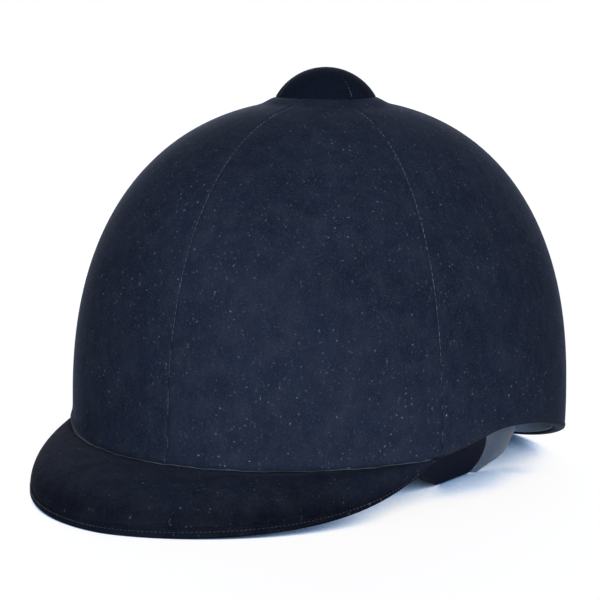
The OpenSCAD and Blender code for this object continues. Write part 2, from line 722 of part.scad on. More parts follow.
// Leather tab beyond the fold, flat on the table, to which the chin strap is riveted
module cheek_tab(side) {
    start = fold_x - cheek_wall / 2 - free_gap;
    end = rivet_x - strap_back;
    half = fold_width / 2;
    color([0.07, 0.08, 0.13]) mirror([side < 0 ? 1 : 0, 0, 0]) difference() {
        linear_extrude(cheek_wall) union() {
            translate([rivet_x, fold_y - half]) square([start - rivet_x, fold_width]);
            translate([end + half, fold_y]) circle(half);
            translate([end + half, fold_y - half]) square([rivet_x - end - half + 1, fold_width]);
        }
        translate([rivet_x, fold_y, -1]) cylinder(h = cheek_wall + 2, r = rivet_radius + clearance);
        translate([rivet_x, fold_y, -1]) cylinder(h = 1 + rivet_recess, r = 2.2 * rivet_radius + clearance);
    }
}

module cheek_tab_left() { cheek_tab(1); }
module cheek_tab_right() { cheek_tab(-1); }

// Frame of a chin strap: x runs along it from its rivet
module along_strap(side) {
    mirror([side < 0 ? 1 : 0, 0, 0]) translate([rivet_x, fold_y, 0])
        rotate([0, 0, 180 + side * strap_skew]) children();
}

module chin_rivet(side) {
    lift = 0.1;
    head = rivet_recess - 2 * lift;
    color("silver") along_strap(side) {
        translate([0, 0, lift]) cylinder(h = head, r = 2.2 * rivet_radius);
        translate([0, 0, head]) cylinder(h = strap_top + 2 * lift - head, r = rivet_radius);
        translate([0, 0, strap_top + lift]) cylinder(h = rivet_recess, r = 2.2 * rivet_radius);
    }
}

module chin_rivet_left() { chin_rivet(1); }
module chin_rivet_right() { chin_rivet(-1); }

module chin_webbing(side, length) {
    half = strap_width / 2;
    cut = 3;
    color([0.35, 0.4, 0.47]) along_strap(side) translate([0, 0, strap_low]) difference() {
        linear_extrude(webbing_wall) polygon([
            [-strap_back, cut - half], [-strap_back, half - cut], [cut - strap_back, half], [length, half],
            [length, -half], [cut - strap_back, -half]]);
        translate([0, 0, -1]) cylinder(h = webbing_wall + 2, r = rivet_radius + clearance);
    }
}

module chin_strap_left() { chin_webbing(1, strap_length); }
module chin_strap_right() { chin_webbing(-1, strap_length); }

// Padded sleeve round the left chin strap
chin_pad_from = 24;
chin_pad_length = 38;
chin_pad_width = strap_width + 7;
module chin_pad() {
    slot = 0.2;
    mid = (strap_low + strap_top) / 2;
    half = chin_pad_width / 2;
    flat = 0.3 * chin_pad_width;
    low = 0.1 - mid;
    high = chin_pad_wall - mid;
    color([0.07, 0.08, 0.13]) along_strap(1) difference() {
        translate([chin_pad_from, 0, mid]) rotate([90, 0, 90]) linear_extrude(chin_pad_length) polygon(concat(
            curve([-half, 0], [-half, 0.8 * low], [-flat, low], [0, low], 8),
            curve([0, low], [flat, low], [half, 0.8 * low], [half, 0], 8),
            curve([half, 0], [half, 0.9 * high], [flat, high], [0, high], 8),
            curve([0, high], [-flat, high], [-half, 0.9 * high], [-half, 0], 8)));
        translate([0, -strap_width / 2 - slot, strap_low - slot])
            cube([2 * strap_length, strap_width + 2 * slot, webbing_wall + 2 * slot]);
    }
}

// Buckle, with the strap sewn into its rear
socket_from = strap_length - 6;
prong_length = 17;
prong_low = 1.9;
prong_wall = buckle_wall - 2 * prong_low;
module rounded_plate(length, width, r, wall) {
    linear_extrude(wall) union() {
        translate([r, -width / 2]) square([length - 2 * r, width]);
        translate([0, r - width / 2]) square([length, width - 2 * r]);
        for (x = [r, length - r], y = [r - width / 2, width / 2 - r]) translate([x, y]) circle(r);
    }
}

module strap_slot() {
    play = 0.15;
    translate([0, -strap_width / 2 - play, strap_low - play])
        cube([strap_length + play, strap_width + 2 * play, webbing_wall + 2 * play]);
}

module buckle_socket() {
    play = 0.2;
    side_wall = 3.5;
    window = 8;
    window_margin = 5;
    mouth = [prong_length + 1, socket_width - 2 * side_wall, prong_wall + 2 * play];
    end = socket_from + socket_length;
    color([0.1, 0.1, 0.12]) along_strap(1) difference() {
        translate([socket_from, 0, 0]) rounded_plate(socket_length, socket_width, 4, buckle_wall);
        strap_slot();
        translate([end - mouth.x, -mouth.y / 2, prong_low - play]) cube([mouth.x + 1, mouth.y, mouth.z]);
        for (k = [-1, 1]) translate([end - window - window_margin, (k * socket_width - window) / 2, prong_low - play])
            cube([window, window, mouth.z]);
    }
}

plug_length = 16;
plug_width = 26;
prong_root = socket_from + plug_length - 2.5;
prong_offset = 8.5;
root_radius = 2;
module buckle_plug() {
    play = 0.2;
    tongue = 3;
    color([0.1, 0.1, 0.12]) along_strap(-1) difference() {
        union() {
            translate([socket_from, 0, 0]) rounded_plate(plug_length, plug_width, 3, buckle_wall);
            translate([socket_from + plug_length - 2, -tongue / 2, prong_low])
                cube([prong_length - 3, tongue, prong_wall]);
        }
        strap_slot();
        for (k = [-1, 1]) translate([prong_root, k * prong_offset, prong_low - 0.3])
            linear_extrude(prong_wall + 0.6) {
                circle(root_radius + play);
                translate([0, -root_radius - play]) square([5, 2 * (root_radius + play)]);
            }
    }
}

// One springy prong, which bends about its root
module prong(k) {
    color([0.12, 0.12, 0.14]) along_strap(-1) translate([prong_root, k * prong_offset, prong_low])
        scale([1, k, 1]) linear_extrude(prong_wall) {
            circle(root_radius);
            polygon([[0, -1.2], [prong_length - 2, -0.6], [prong_length, 0.6], [prong_length - 1, 2.2],
                     [prong_length - 7, 3.2], [prong_length - 8, 1.4], [0, 1.4]]);
        }
}

module buckle_prong_front() { prong(1); }
module buckle_prong_rear() { prong(-1); }

// Free end of the right strap, folded back over it, and the loop that keeps it
tail_from = 34;
tail_wall = 0.75 * webbing_wall;
module strap_tail() {
    color([0.35, 0.4, 0.47]) along_strap(-1)
        translate([tail_from, -strap_width / 2, strap_top + cloth_gap])
            cube([socket_from - tail_from - free_gap, strap_width, tail_wall]);
}

keeper_at = 50;
keeper_width = 8;
module strap_keeper() {
    play = 0.2;
    wall = 1;
    height = strap_top + cloth_gap + tail_wall - strap_low + 2 * play;
    color([0.07, 0.08, 0.13]) along_strap(-1) translate([keeper_at, 0, strap_low - play]) difference() {
        translate([0, -strap_width / 2 - play - wall, -wall])
            cube([keeper_width, strap_width + 2 * play + 2 * wall, height + 2 * wall]);
        translate([-1, -strap_width / 2 - play, 0]) cube([keeper_width + 2, strap_width + 2 * play, height]);
    }
}

panel_front_left();
panel_side_left();
panel_rear_left();
panel_rear_right();
panel_side_right();
panel_front_right();
rim_binding();
button_cover();
button_core();
button_screw();
button_washer();
peak_core();
peak_top_cover();
peak_under_cover();
peak_edge_binding();
peak_rivets();
outer_shell();
impact_liner();
headband();
crown_pad();
brow_pad();
nape_pad();
side_pad_left();
side_pad_right();
nape_strap();
anchor_front_left();
anchor_rear_left();
anchor_front_right();
anchor_rear_right();
anchor_rivets();
cheek_piece_left();
rear_web_left();
cheek_tab_left();
chin_rivet_left();
chin_strap_left();
chin_pad();
buckle_socket();
cheek_piece_right();
rear_web_right();
cheek_tab_right();
chin_rivet_right();
chin_strap_right();
strap_tail();
strap_keeper();
buckle_plug();
buckle_prong_front();
buckle_prong_rear();
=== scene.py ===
"""Velvet riding helmet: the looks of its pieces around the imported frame, with a plain studio.

Lengths in the classes below are millimetres, as a maker writes them, and turn into metres where a
mesh is made. The wearer faces -Y and the wearer's left is +X.
"""
import logging
import math
from dataclasses import dataclass
from enum import Enum
from typing import Callable, ClassVar, Iterable, Sequence

import bmesh
import bpy
import numpy as np
from mathutils import Matrix

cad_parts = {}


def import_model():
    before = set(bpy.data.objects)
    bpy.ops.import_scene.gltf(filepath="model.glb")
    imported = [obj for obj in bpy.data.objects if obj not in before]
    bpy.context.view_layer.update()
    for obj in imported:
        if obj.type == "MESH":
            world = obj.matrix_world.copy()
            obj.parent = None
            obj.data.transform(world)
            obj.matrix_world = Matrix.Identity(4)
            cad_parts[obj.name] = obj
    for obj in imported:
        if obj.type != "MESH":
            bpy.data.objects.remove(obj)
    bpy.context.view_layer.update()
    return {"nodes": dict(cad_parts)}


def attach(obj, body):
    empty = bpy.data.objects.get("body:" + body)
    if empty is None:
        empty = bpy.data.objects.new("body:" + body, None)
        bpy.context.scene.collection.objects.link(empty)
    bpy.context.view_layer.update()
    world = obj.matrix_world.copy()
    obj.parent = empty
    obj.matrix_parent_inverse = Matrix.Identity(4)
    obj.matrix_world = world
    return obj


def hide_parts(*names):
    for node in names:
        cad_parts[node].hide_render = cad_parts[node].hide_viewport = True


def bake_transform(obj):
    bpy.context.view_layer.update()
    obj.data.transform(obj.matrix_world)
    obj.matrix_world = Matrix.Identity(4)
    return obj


MM = 0.001
HELMET = "helmet"
KEEPER = "keeper"

Array = np.ndarray
Colour = tuple[float, float, float]
Piece = bpy.types.Object
Socket = bpy.types.NodeSocket
log = logging.getLogger("riding_helmet")


class Side(Enum):
    """The wearer's side that a doubled piece belongs to."""

    LEFT = 1
    RIGHT = -1

    @property
    def word(self) -> str:
        """The side as the nodes' names say it."""
        return self.name.lower()


class Slot(Enum):
    """The record's material slots that the new pieces are listed with; no finish is taken from them."""

    VELVET = "velvet"
    TAPE = "velvet_tape"
    WEBBING = "webbing"
    UNDER_CLOTH = "under_cloth"
    FOAM = "impact_foam"
    SWEAT_LEATHER = "sweat_leather"
    PAD_CLOTH = "pad_cloth"
    LEATHER = "cheek_leather"


class Cells(Enum):
    """What a node of cells measures."""

    TO_MIDDLE = "F1"
    TO_EDGE = "DISTANCE_TO_EDGE"


def mix(a: Array, b: Array, t: Array) -> Array:
    """The value between a and b at share t."""
    return a + (b - a) * t


def ease(t: Array) -> Array:
    """A smooth step from 0 to 1 for t from 0 to 1."""
    c = np.clip(t, 0.0, 1.0)
    return c * c * (3 - 2 * c)


def ramp(value: Array, start: float, length: float) -> Array:
    """A smooth step from 0 at start to 1 a length further on."""
    return ease((value - start) / length)


def bell(distance: Array, width: float) -> Array:
    """A smooth bump of height 1 round distance 0."""
    return np.exp(-((distance / width) ** 2))


def sin_deg(angle: Array) -> Array:
    """The sine of an angle in degrees."""
    return np.sin(np.radians(angle))


def cos_deg(angle: Array) -> Array:
    """The cosine of an angle in degrees."""
    return np.cos(np.radians(angle))


def points(*axes: Array) -> Array:
    """Points from their coordinates, which are spread to one shape."""
    return np.stack(np.broadcast_arrays(*axes), axis=-1)


def unit(vectors: Array) -> Array:
    """The vectors at length 1."""
    return vectors / np.maximum(np.linalg.norm(vectors, axis=-1, keepdims=True), 1e-12)


def lengths(path: Array) -> Array:
    """How far along a path each of its points lies."""
    return np.concatenate([[0], np.cumsum(np.linalg.norm(np.diff(path, axis=0), axis=1))])


def read_off(marks: Array, far: Array, values: Array) -> Array:
    """Vectors known at distances far, read off at the distances marks."""
    return np.stack([np.interp(marks, far, values[:, k]) for k in range(3)], axis=-1)


def bezier(a: Sequence[float], b: Sequence[float], c: Sequence[float], d: Sequence[float],
           steps: int = 24) -> Array:
    """Points of a cubic curve, both ends included.

    Args:
        a: where it starts.
        b: the handle that it leaves towards.
        c: the handle that it arrives from.
        d: where it ends.
        steps: how many points it gets.

    Returns:
        The points, one to a row.
    """
    t = np.linspace(0, 1, steps)[:, None]
    s = 1 - t
    a, b, c, d = (np.array(p, float) for p in (a, b, c, d))
    return s**3 * a + 3 * s * s * t * b + 3 * s * t * t * c + t**3 * d


@dataclass
class CrownForm:
    """The curved surfaces that all the layers of the crown and the peak follow.

    A depth of a layer is called its inset: the distance under the velvet's outside. An angle is
    measured round the crown from the front, in degrees. A turn goes over the dome from its top, 0,
    to its widest level, 90, and over the peak from the crown, 0, to the lip, 90.
    """

    half_width: float = 107.0
    front_reach: float = 129.8
    rear_reach: float = 126.3
    crown_height: float = 136.2
    front_squareness: float = 2.4
    rear_squareness: float = 2.31
    tuck_depth: float = 110.0
    brow_drop: float = 5.4
    temple_rise: float = 1.2
    nape_drop: float = 35.0
    recess_top: float = 31.0
    first_turn: float = 3.1
    dome_share: float = 0.72
    velvet_wall: float = 1.2
    shell_wall: float = 3.0
    liner_wall: float = 17.0
    liner_recess: float = 4.2
    foam_over_rim: float = 9.0
    foam_over_anchors: float = 11.5
    foam_lifts: tuple[float, float] = (38.0, 20.0)
    foam_settles: tuple[float, float] = (106.0, 26.0)
    headband_wall: float = 3.5
    headband_height: float = 34.0
    layer_gap: float = 0.25
    cloth_gap: float = 0.2
    tape_gap: float = 0.15
    free_gap: float = 0.3
    pad_gap: float = 0.45
    binding_wall: float = 0.7
    peak_reach: float = 47.4
    peak_drop: float = 18.3
    peak_angle: float = 60.0
    peak_outline: tuple[float, float] = (1.587, 1.37)
    peak_fall: tuple[float, float] = (4.517, 1.37)
    peak_bow: float = 1.67
    peak_taper: float = 6.0
    brow_margin: float = 2.0
    peak_wall: float = 2.0
    under_wall: float = 0.8
    edge_wall: float = 0.6
    temple_az: float = 78.0
    nape_az: float = 165.0
    rim_curve: float = 1.65
    foot_cut: float = 0.3

    def __post_init__(self) -> None:
        """Works out the insets of the layers' faces, and the angle at which the brow's level rim ends."""
        self.shell_in = self.velvet_wall + self.layer_gap + self.shell_wall
        self.liner_out = self.shell_in + self.layer_gap
        self.liner_in = self.liner_out + self.liner_wall
        self.headband_out = self.liner_in + self.layer_gap
        self.headband_in = self.headband_out + self.headband_wall
        self.pad_out = self.liner_in + self.pad_gap
        self.front_end = self.peak_angle - self.brow_margin

    def folded(self, az: Array) -> Array:
        """The angle from the front, from 0 to 180, whichever side it lies on."""
        a = np.abs(np.asarray(az, float)) % 360
        return np.where(a > 180, 360 - a, a)

    def rim(self, az: Array) -> Array:
        """Height of the crown's rim over its widest level.

        Args:
            az: angles from the front.

        Returns:
            The heights, which are below 0 at the brow and at the nape.
        """
        a = self.folded(az)
        front = mix(-self.brow_drop, self.temple_rise, ramp(a, self.front_end, self.temple_az - self.front_end))
        turn = 90 * np.clip((a - self.temple_az) / (self.nape_az - self.temple_az), 0, 1)
        rear = mix(self.temple_rise, -self.nape_drop, sin_deg(turn) ** self.rim_curve)
        return np.where(a < self.temple_az, front, rear)

    def liner_base(self, az: Array) -> Array:
        """Height of the foam's lower edge, which lifts where the anchors pass under it.

        Args:
            az: angles from the front.

        Returns:
            The heights over the widest level.
        """
        a = self.folded(az)
        low = self.rim(az) + self.foam_over_rim
        lifted = mix(low, self.foam_over_anchors, ramp(a, *self.foam_lifts))
        return mix(np.maximum(low, lifted), low, ramp(a, *self.foam_settles))

    def squareness(self, az: Array) -> Array:
        """Power of the superellipse at an angle."""
        return mix(self.rear_squareness, self.front_squareness, (1 + cos_deg(az)) / 2)

    def reach(self, az: Array) -> Array:
        """Distance from the crown's middle to its front or rear."""
        return np.where(cos_deg(az) > 0, self.front_reach, self.rear_reach)

    def share(self, az: Array, z: Array, inset: Array) -> Array:
        """Share of the full width that a wall has.

        Args:
            az: angles from the front.
            z: heights over the widest level, or under it where they are below 0.
            inset: depth of the layer.

        Returns:
            Shares from 0 to 1.
        """
        n = self.squareness(az)
        top = np.where(np.asarray(z) > 0, self.crown_height - inset, self.tuck_depth)
        return (1 - np.minimum(np.abs(z) / top, 1) ** n) ** (1 / n)

    def _at(self, az: Array, z: Array, inset: Array, k: Array) -> Array:
        """Point of a layer at a share k of its full width."""
        wide, reach = self.half_width - inset, self.reach(az) - inset
        return points(wide * sin_deg(az) * k, -reach * cos_deg(az) * k, z)

    def wall(self, az: Array, z: Array, inset: Array) -> Array:
        """Point of a layer's wall at an angle and a height."""
        return self._at(az, z, inset, self.share(az, z, inset))

    def dome(self, az: Array, turn: Array, inset: Array) -> Array:
        """Point of a layer's dome at an angle and a turn."""
        k = 2 / self.squareness(az)
        return self._at(az, (self.crown_height - inset) * cos_deg(turn) ** k, inset, sin_deg(turn) ** k)

    def band_turn(self, az: Array) -> Array:
        """Turn at which the dome's rows give way to the wall's rows."""
        return np.degrees(np.arccos((self.recess_top / self.crown_height) ** (self.squareness(az) / 2)))

    def band_z(self, inset: Array) -> Array:
        """Height at which they do."""
        return (self.crown_height - inset) * self.recess_top / self.crown_height

    def surface(self, az: Array, v: Array, low: Array, inset: Array) -> Array:
        """Point of a layer from near its top, v 0, over the dome to its lower edge, v 1.

        Args:
            az: angles from the front.
            v: share of the way down, of which the dome takes dome_share.
            low: height of the lower edge at each angle.
            inset: depth of the layer at each point.

        Returns:
            The points, in millimetres, in the crown's own frame.
        """
        turn = mix(self.first_turn, self.band_turn(az), np.clip(v / self.dome_share, 0, 1))
        z = mix(self.band_z(inset), low, np.clip((v - self.dome_share) / (1 - self.dome_share), 0, 1))
        on_dome = (v <= self.dome_share)[..., None]
        return np.where(on_dome, self.dome(az, turn, inset), self.wall(az, z, inset))

    @property
    def seat(self) -> Matrix:
        """Place of the crown on the table, in metres, tilted onto its nape and the peak's lip.

        Returns:
            The matrix from the crown's own frame to the shared one.
        """
        edge_low = self.brow_drop + self.peak_drop
        peak_front = self.front_reach + self.peak_reach
        nape_reach = self.rear_reach * float(self.share(180, -self.nape_drop, 0))
        tilt = math.atan((self.nape_drop - edge_low) / (nape_reach + peak_front))
        up = self.nape_drop * math.cos(tilt) - nape_reach * math.sin(tilt) - self.foot_cut
        back = (peak_front * math.cos(tilt) - edge_low * math.sin(tilt) - self.rear_reach) / 2
        return Matrix.Translation((0, back * MM, up * MM)) @ Matrix.Rotation(tilt, 4, "X")

    def seated(self, own: Array, least: float | None = None) -> Array:
        """Points of the crown's own frame, as metres on the table.

        Args:
            own: the points, in millimetres.
            least: height over the table that no point goes below, where there is one.

        Returns:
            The points in the shared frame.
        """
        m = np.array(self.seat, float)
        placed = (np.asarray(own, float) * MM) @ m[:3, :3].T + m[:3, 3]
        if least is not None:
            placed[..., 2] = np.maximum(placed[..., 2], least * MM)
        return placed

    def row_and_out(self, near: Array, far: Array) -> tuple[Array, Array]:
        """A row of points in metres, and the way from it to a row further out."""
        path = self.seated(near)
        return path, self.seated(far) - path

    def peak_share(self, az: Array) -> Array:
        """How far an angle lies from the front towards the peak's end."""
        return np.minimum(np.abs(az) / self.peak_angle, 1)

    def peak_thin(self, az: Array) -> Array:
        """Share of its thickness that the peak keeps towards its ends."""
        return 1 - self.peak_share(az) ** self.peak_taper

    def peak_curve(self, az: Array, turn: Array) -> Array:
        """Section of the peak.

        Args:
            az: angles from the front.
            turn: turns from the crown to the lip.

        Returns:
            Distance out from the crown, then height over the brow's rim.
        """
        u = self.peak_share(az)
        out = self.peak_reach * (1 - u ** self.peak_outline[0]) ** self.peak_outline[1]
        fall = self.peak_drop * (1 - u ** self.peak_fall[0]) ** self.peak_fall[1]
        return points(out * sin_deg(turn) ** self.peak_bow, -fall * (1 - cos_deg(turn)) ** 2)

    def peak(self, az: Array, turn: Array, depth: Array, lift: Array = 0.0) -> Array:
        """Point of the peak at a depth under its top skin.

        Args:
            az: angle from the front.
            turn: from 0 at the crown to 90 at the lip.
            depth: distance under the top skin.
            lift: height added at the lip.

        Returns:
            The points, in millimetres, in the crown's own frame.
        """
        step = 1.0
        along = self.peak_curve(az, np.minimum(turn + step, 90)) - self.peak_curve(az, np.maximum(turn - step, 0))
        along = unit(along)
        thin = self.peak_thin(az)
        curve = self.peak_curve(az, turn)
        out = curve[..., 0] + depth * thin * along[..., 1]
        down = curve[..., 1] - depth * thin * along[..., 0]
        base = self.wall(az, self.rim(az), 0)
        far = np.hypot(base[..., 0], base[..., 1])
        k = (far + out) / far
        return points(base[..., 0] * k, base[..., 1] * k, self.rim(az) + down + lift * thin)


FORM = CrownForm()


@dataclass(frozen=True)
class Ridge:
    """A soft ridge in cloth: its height, its distance from a line and its width."""

    height: float
    at: float
    width: float

    def over(self, distance: Array) -> Array:
        """The ridge's height at distances from the line."""
        return self.height * bell(distance - self.at, self.width)


class MeshParts:
    """Closed shapes gathered into one mesh."""

    def __init__(self) -> None:
        """Starts with no shape."""
        self.points: list[Array] = []
        self.faces: list[list[int]] = []
        self.count = 0

    def _number(self, grid: Array, wrap: bool) -> Array:
        """Takes in a grid of points.

        Args:
            grid: rows by columns by 3.
            wrap: whether the last column joins the first.

        Returns:
            The points' numbers, with the first column again at the end where the grid wraps.
        """
        rows, cols = grid.shape[:2]
        numbers = self.count + np.arange(rows * cols).reshape(rows, cols)
        self.points.append(grid.reshape(-1, 3))
        self.count += rows * cols
        return np.hstack([numbers, numbers[:, :1]]) if wrap else numbers

    def _strip(self, first: Array, second: Array, flip: bool = False) -> None:
        """Adds the quads between two rows of numbers, turned over where flip says so."""
        quads = np.stack([first[:-1], first[1:], second[1:], second[:-1]], axis=-1)
        self.faces += (quads[:, ::-1] if flip else quads).tolist()

    def _sheet(self, numbers: Array, flip: bool = False) -> None:
        """Adds the quads of a whole grid of numbers."""
        for first, second in zip(numbers[:-1], numbers[1:]):
            self._strip(first, second, flip)

    def shell(self, outer: Array, inner: Array, wrap: bool = False) -> None:
        """Adds the closed solid between two grids of points of the same shape.

        Args:
            outer: grid of points, rows by columns by 3.
            inner: the grid that faces it.
            wrap: whether the last column joins the first.
        """
        a, b = self._number(outer, wrap), self._number(inner, wrap)
        self._sheet(a)
        self._sheet(b, flip=True)
        self._strip(a[0], b[0])
        self._strip(a[-1], b[-1], flip=True)
        if not wrap:
            self._strip(a[:, 0], b[:, 0], flip=True)
            self._strip(a[:, -1], b[:, -1])

    def tube(self, rings: Array, closed: bool = False) -> None:
        """Adds a swept solid.

        Args:
            rings: rings of points, rings by points by 3.
            closed: whether the last ring joins the first; otherwise both ends get a cap.
        """
        numbers = self._number(rings, wrap=True)
        self._sheet(numbers)
        if closed:
            self._strip(numbers[-1], numbers[0])
        else:
            self.faces += [numbers[0, -2::-1].tolist(), numbers[-1, :-1].tolist()]

    def build(self, name: str, sharp: float = 50.0) -> Piece:
        """Makes the object.

        Args:
            name: the piece's name.
            sharp: angle in degrees above which an edge stays sharp.

        Returns:
            The new object, linked to the scene.
        """
        mesh = bpy.data.meshes.new(name)
        mesh.from_pydata(np.vstack(self.points).tolist(), [], self.faces)
        work = bmesh.new()
        work.from_mesh(mesh)
        bmesh.ops.recalc_face_normals(work, faces=work.faces)
        work.to_mesh(mesh)
        work.free()
        mesh.polygons.foreach_set("use_smooth", [True] * len(mesh.polygons))
        mesh.set_sharp_from_angle(angle=math.radians(sharp))
        return linked(bpy.data.objects.new(name, mesh))


def linked(made: Piece) -> Piece:
    """The same object, put into the scene."""
    bpy.context.scene.collection.objects.link(made)
    return made


def stadium(half_width: Array, half_wall: Array, corner: int = 4) -> Array:
    """Points round a flat bar with round edges, for each ring of a sweep.

    Args:
        half_width: half of the bar's width at each ring.
        half_wall: half of its thickness at each ring.
        corner: points in a quarter of an edge's turn.

    Returns:
        Rings by points by 2: across, then up.
    """
    turns = np.linspace(-90, 90, 2 * corner + 1)
    steps = np.linspace(1, -1, 10)[1:-1]
    hw, hh = half_width[:, None], half_wall[:, None]
    right = points(hw - hh + cos_deg(turns) * hh, sin_deg(turns) * hh)
    over = points(steps * (hw - hh), hh)
    return np.concatenate([right, over, -right, -over], axis=1)


def sweep(path: Array, across: Array, section: Array) -> Array:
    """Rings of a section carried along a path.

    Args:
        path: points along the middle.
        across: direction of the section's first axis at each point.
        section: rings by points by 2.

    Returns:
        Rings by points by 3.
    """
    across = unit(across)
    up = unit(np.cross(unit(np.gradient(path, axis=0)), across))
    return path[:, None] + section[..., :1] * across[:, None] + section[..., 1:] * up[:, None]


def round_rings(path: Array, radius: Array, sides: int = 6) -> Array:
    """Rings of a round thread along a path.

    Args:
        path: points along the middle.
        radius: the thread's radius at each point, or one for all.
        sides: points in a ring.

    Returns:
        Rings by points by 3.
    """
    steep = 0.9
    along = unit(np.gradient(path, axis=0))
    helper = np.where(np.abs(along[:, 2:3]) > steep, [[1.0, 0, 0]], [[0, 0, 1.0]])
    turns = np.arange(sides) * 360 / sides
    circle = points(cos_deg(turns), sin_deg(turns))[None] * np.asarray(radius).reshape(-1, 1, 1)
    return sweep(path, np.cross(along, helper), np.broadcast_to(circle, (len(path), sides, 2)))


@dataclass(frozen=True)
class Sewing:
    """A kind of stitch: its length, the gap to the next, the thread's radius and its rise in radii."""

    length: float
    gap: float
    thread: float
    rise: float = 0.5

    def add(self, parts: MeshParts, path: Array, out: Array, keep: Callable[[float], bool] = lambda share: True,
            size: Callable[[float], float] = lambda share: 1.0) -> None:
        """Adds a row of stitches, each a thread that rises from the cloth and dips back.

        Args:
            parts: the mesh that takes them.
            path: points of the row, in metres.
            out: direction away from the cloth at each of those points.
            keep: says from the share of the way along whether a stitch is there.
            size: share of the full radius that a stitch has, from the share of the way along.
        """
        length, gap, thread = self.length * MM, self.gap * MM, self.thread * MM
        far = lengths(path)
        count = int(far[-1] / (length + gap))
        bow = np.linspace(0, 1, 5)
        arch = np.sin(np.pi * bow)
        for i in range(count):
            share = (i + 0.5) / count
            if not keep(share):
                continue
            marks = i * (length + gap) + bow * length
            radius = thread * size(share)
            lift = (radius * (arch * (1 + self.rise) - 1))[:, None]
            mid = read_off(marks, far, path) + unit(read_off(marks, far, out)) * lift
            parts.tube(round_rings(mid, radius * (0.55 + 0.45 * arch), 5))


class Graph:
    """A short way to write a shader node tree."""

    def __init__(self, tree: bpy.types.NodeTree) -> None:
        """Takes the tree that the nodes go into."""
        self.tree = tree

    def feed(self, socket: Socket, value: object) -> None:
        """Links a socket to a socket, or sets it to a value."""
        if isinstance(value, Socket):
            self.tree.links.new(value, socket)
        else:
            socket.default_value = value

    def node(self, kind: str, inputs: dict[str | int, object] | None = None, **settings: object) -> bpy.types.Node:
        """Adds a node.

        Args:
            kind: the node's type.
            inputs: what feeds its inputs, by name or by place.
            settings: the node's own settings.

        Returns:
            The node.
        """
        made = self.tree.nodes.new(kind)
        for name, value in settings.items():
            setattr(made, name, value)
        return self.put(made, inputs or {})

    def put(self, node: bpy.types.Node, inputs: dict[str | int, object]) -> bpy.types.Node:
        """Feeds a node's inputs by name or by place."""
        for name, value in inputs.items():
            self.feed(node.inputs[name], value)
        return node

    def math(self, operation: str, *values: object, clamp: bool = False) -> Socket:
        """The result of a Math node."""
        return self.node("ShaderNodeMath", dict(enumerate(values)), operation=operation, use_clamp=clamp).outputs[0]

    def times(self, a: object, b: object) -> Socket:
        """The product of two values."""
        return self.math("MULTIPLY", a, b)

    def weigh(self, a: Socket, share_a: float, b: Socket, share_b: float) -> Socket:
        """The sum of two values, each times its share."""
        return self.math("ADD", self.times(a, share_a), self.times(b, share_b))

    def vector(self, operation: str, *values: object) -> Socket:
        """The vector that a Vector Math node gives from its inputs in order."""
        return self.node("ShaderNodeVectorMath", dict(enumerate(values)), operation=operation).outputs[0]

    def scaled(self, value: Socket, scale: object) -> Socket:
        """A vector or a colour times a value."""
        return self.node("ShaderNodeVectorMath", {0: value, "Scale": scale}, operation="SCALE").outputs[0]

    def split(self, value: Socket) -> list[Socket]:
        """The three parts of a vector or a colour."""
        return list(self.node("ShaderNodeSeparateXYZ", {0: value}).outputs)

    def span(self, value: object, low: float, high: float, to_low: float = 0.0, to_high: float = 1.0) -> Socket:
        """A value moved from one range to another and held inside it."""
        return self.node("ShaderNodeMapRange", dict(enumerate((value, low, high, to_low, to_high)))).outputs[0]

    def blend(self, share: object, a: object, b: object) -> Socket:
        """Mixes two colours.

        Args:
            share: 0 for colour a, 1 for colour b.
            a: the one colour.
            b: the other.

        Returns:
            The mixed colour.
        """
        made = self.node("ShaderNodeMix", data_type="RGBA")
        for name, value in (("Factor_Float", share), ("A_Color", a), ("B_Color", b)):
            self.feed(next(s for s in made.inputs if s.identifier == name), value)
        return next(s for s in made.outputs if s.identifier == "Result_Color")

    def place(self) -> Socket:
        """The shaded point in its object's own coordinates."""
        return self.node("ShaderNodeTexCoord").outputs["Object"]

    def noise(self, place: object, scale: object, detail: float = 2.0, roughness: float = 0.5,
              output: str = "Fac") -> Socket:
        """Soft noise from 0 to 1, as a value or, with output Color, as a colour."""
        inputs = {"Vector": place, "Scale": scale, "Detail": detail, "Roughness": roughness}
        return self.node("ShaderNodeTexNoise", inputs).outputs[output]

    def cells(self, place: object, scale: object, measure: Cells = Cells.TO_MIDDLE) -> bpy.types.Node:
        """A node of uneven cells."""
        return self.node("ShaderNodeTexVoronoi", {"Vector": place, "Scale": scale}, feature=measure.value)

    def bump(self, height: object, depth: float, strength: float = 1.0) -> Socket:
        """A normal from a height, where depth is in metres."""
        inputs = {"Height": height, "Distance": depth, "Strength": strength}
        return self.node("ShaderNodeBump", inputs).outputs["Normal"]

    def seen(self) -> Socket:
        """1 for rays that show a surface to the camera, straight or in a gloss, and 0 for those that light."""
        rays = self.node("ShaderNodeLightPath").outputs
        shown = self.math("MAXIMUM", rays["Is Glossy Ray"], rays["Is Transmission Ray"])
        return self.math("MAXIMUM", rays["Is Camera Ray"], shown)


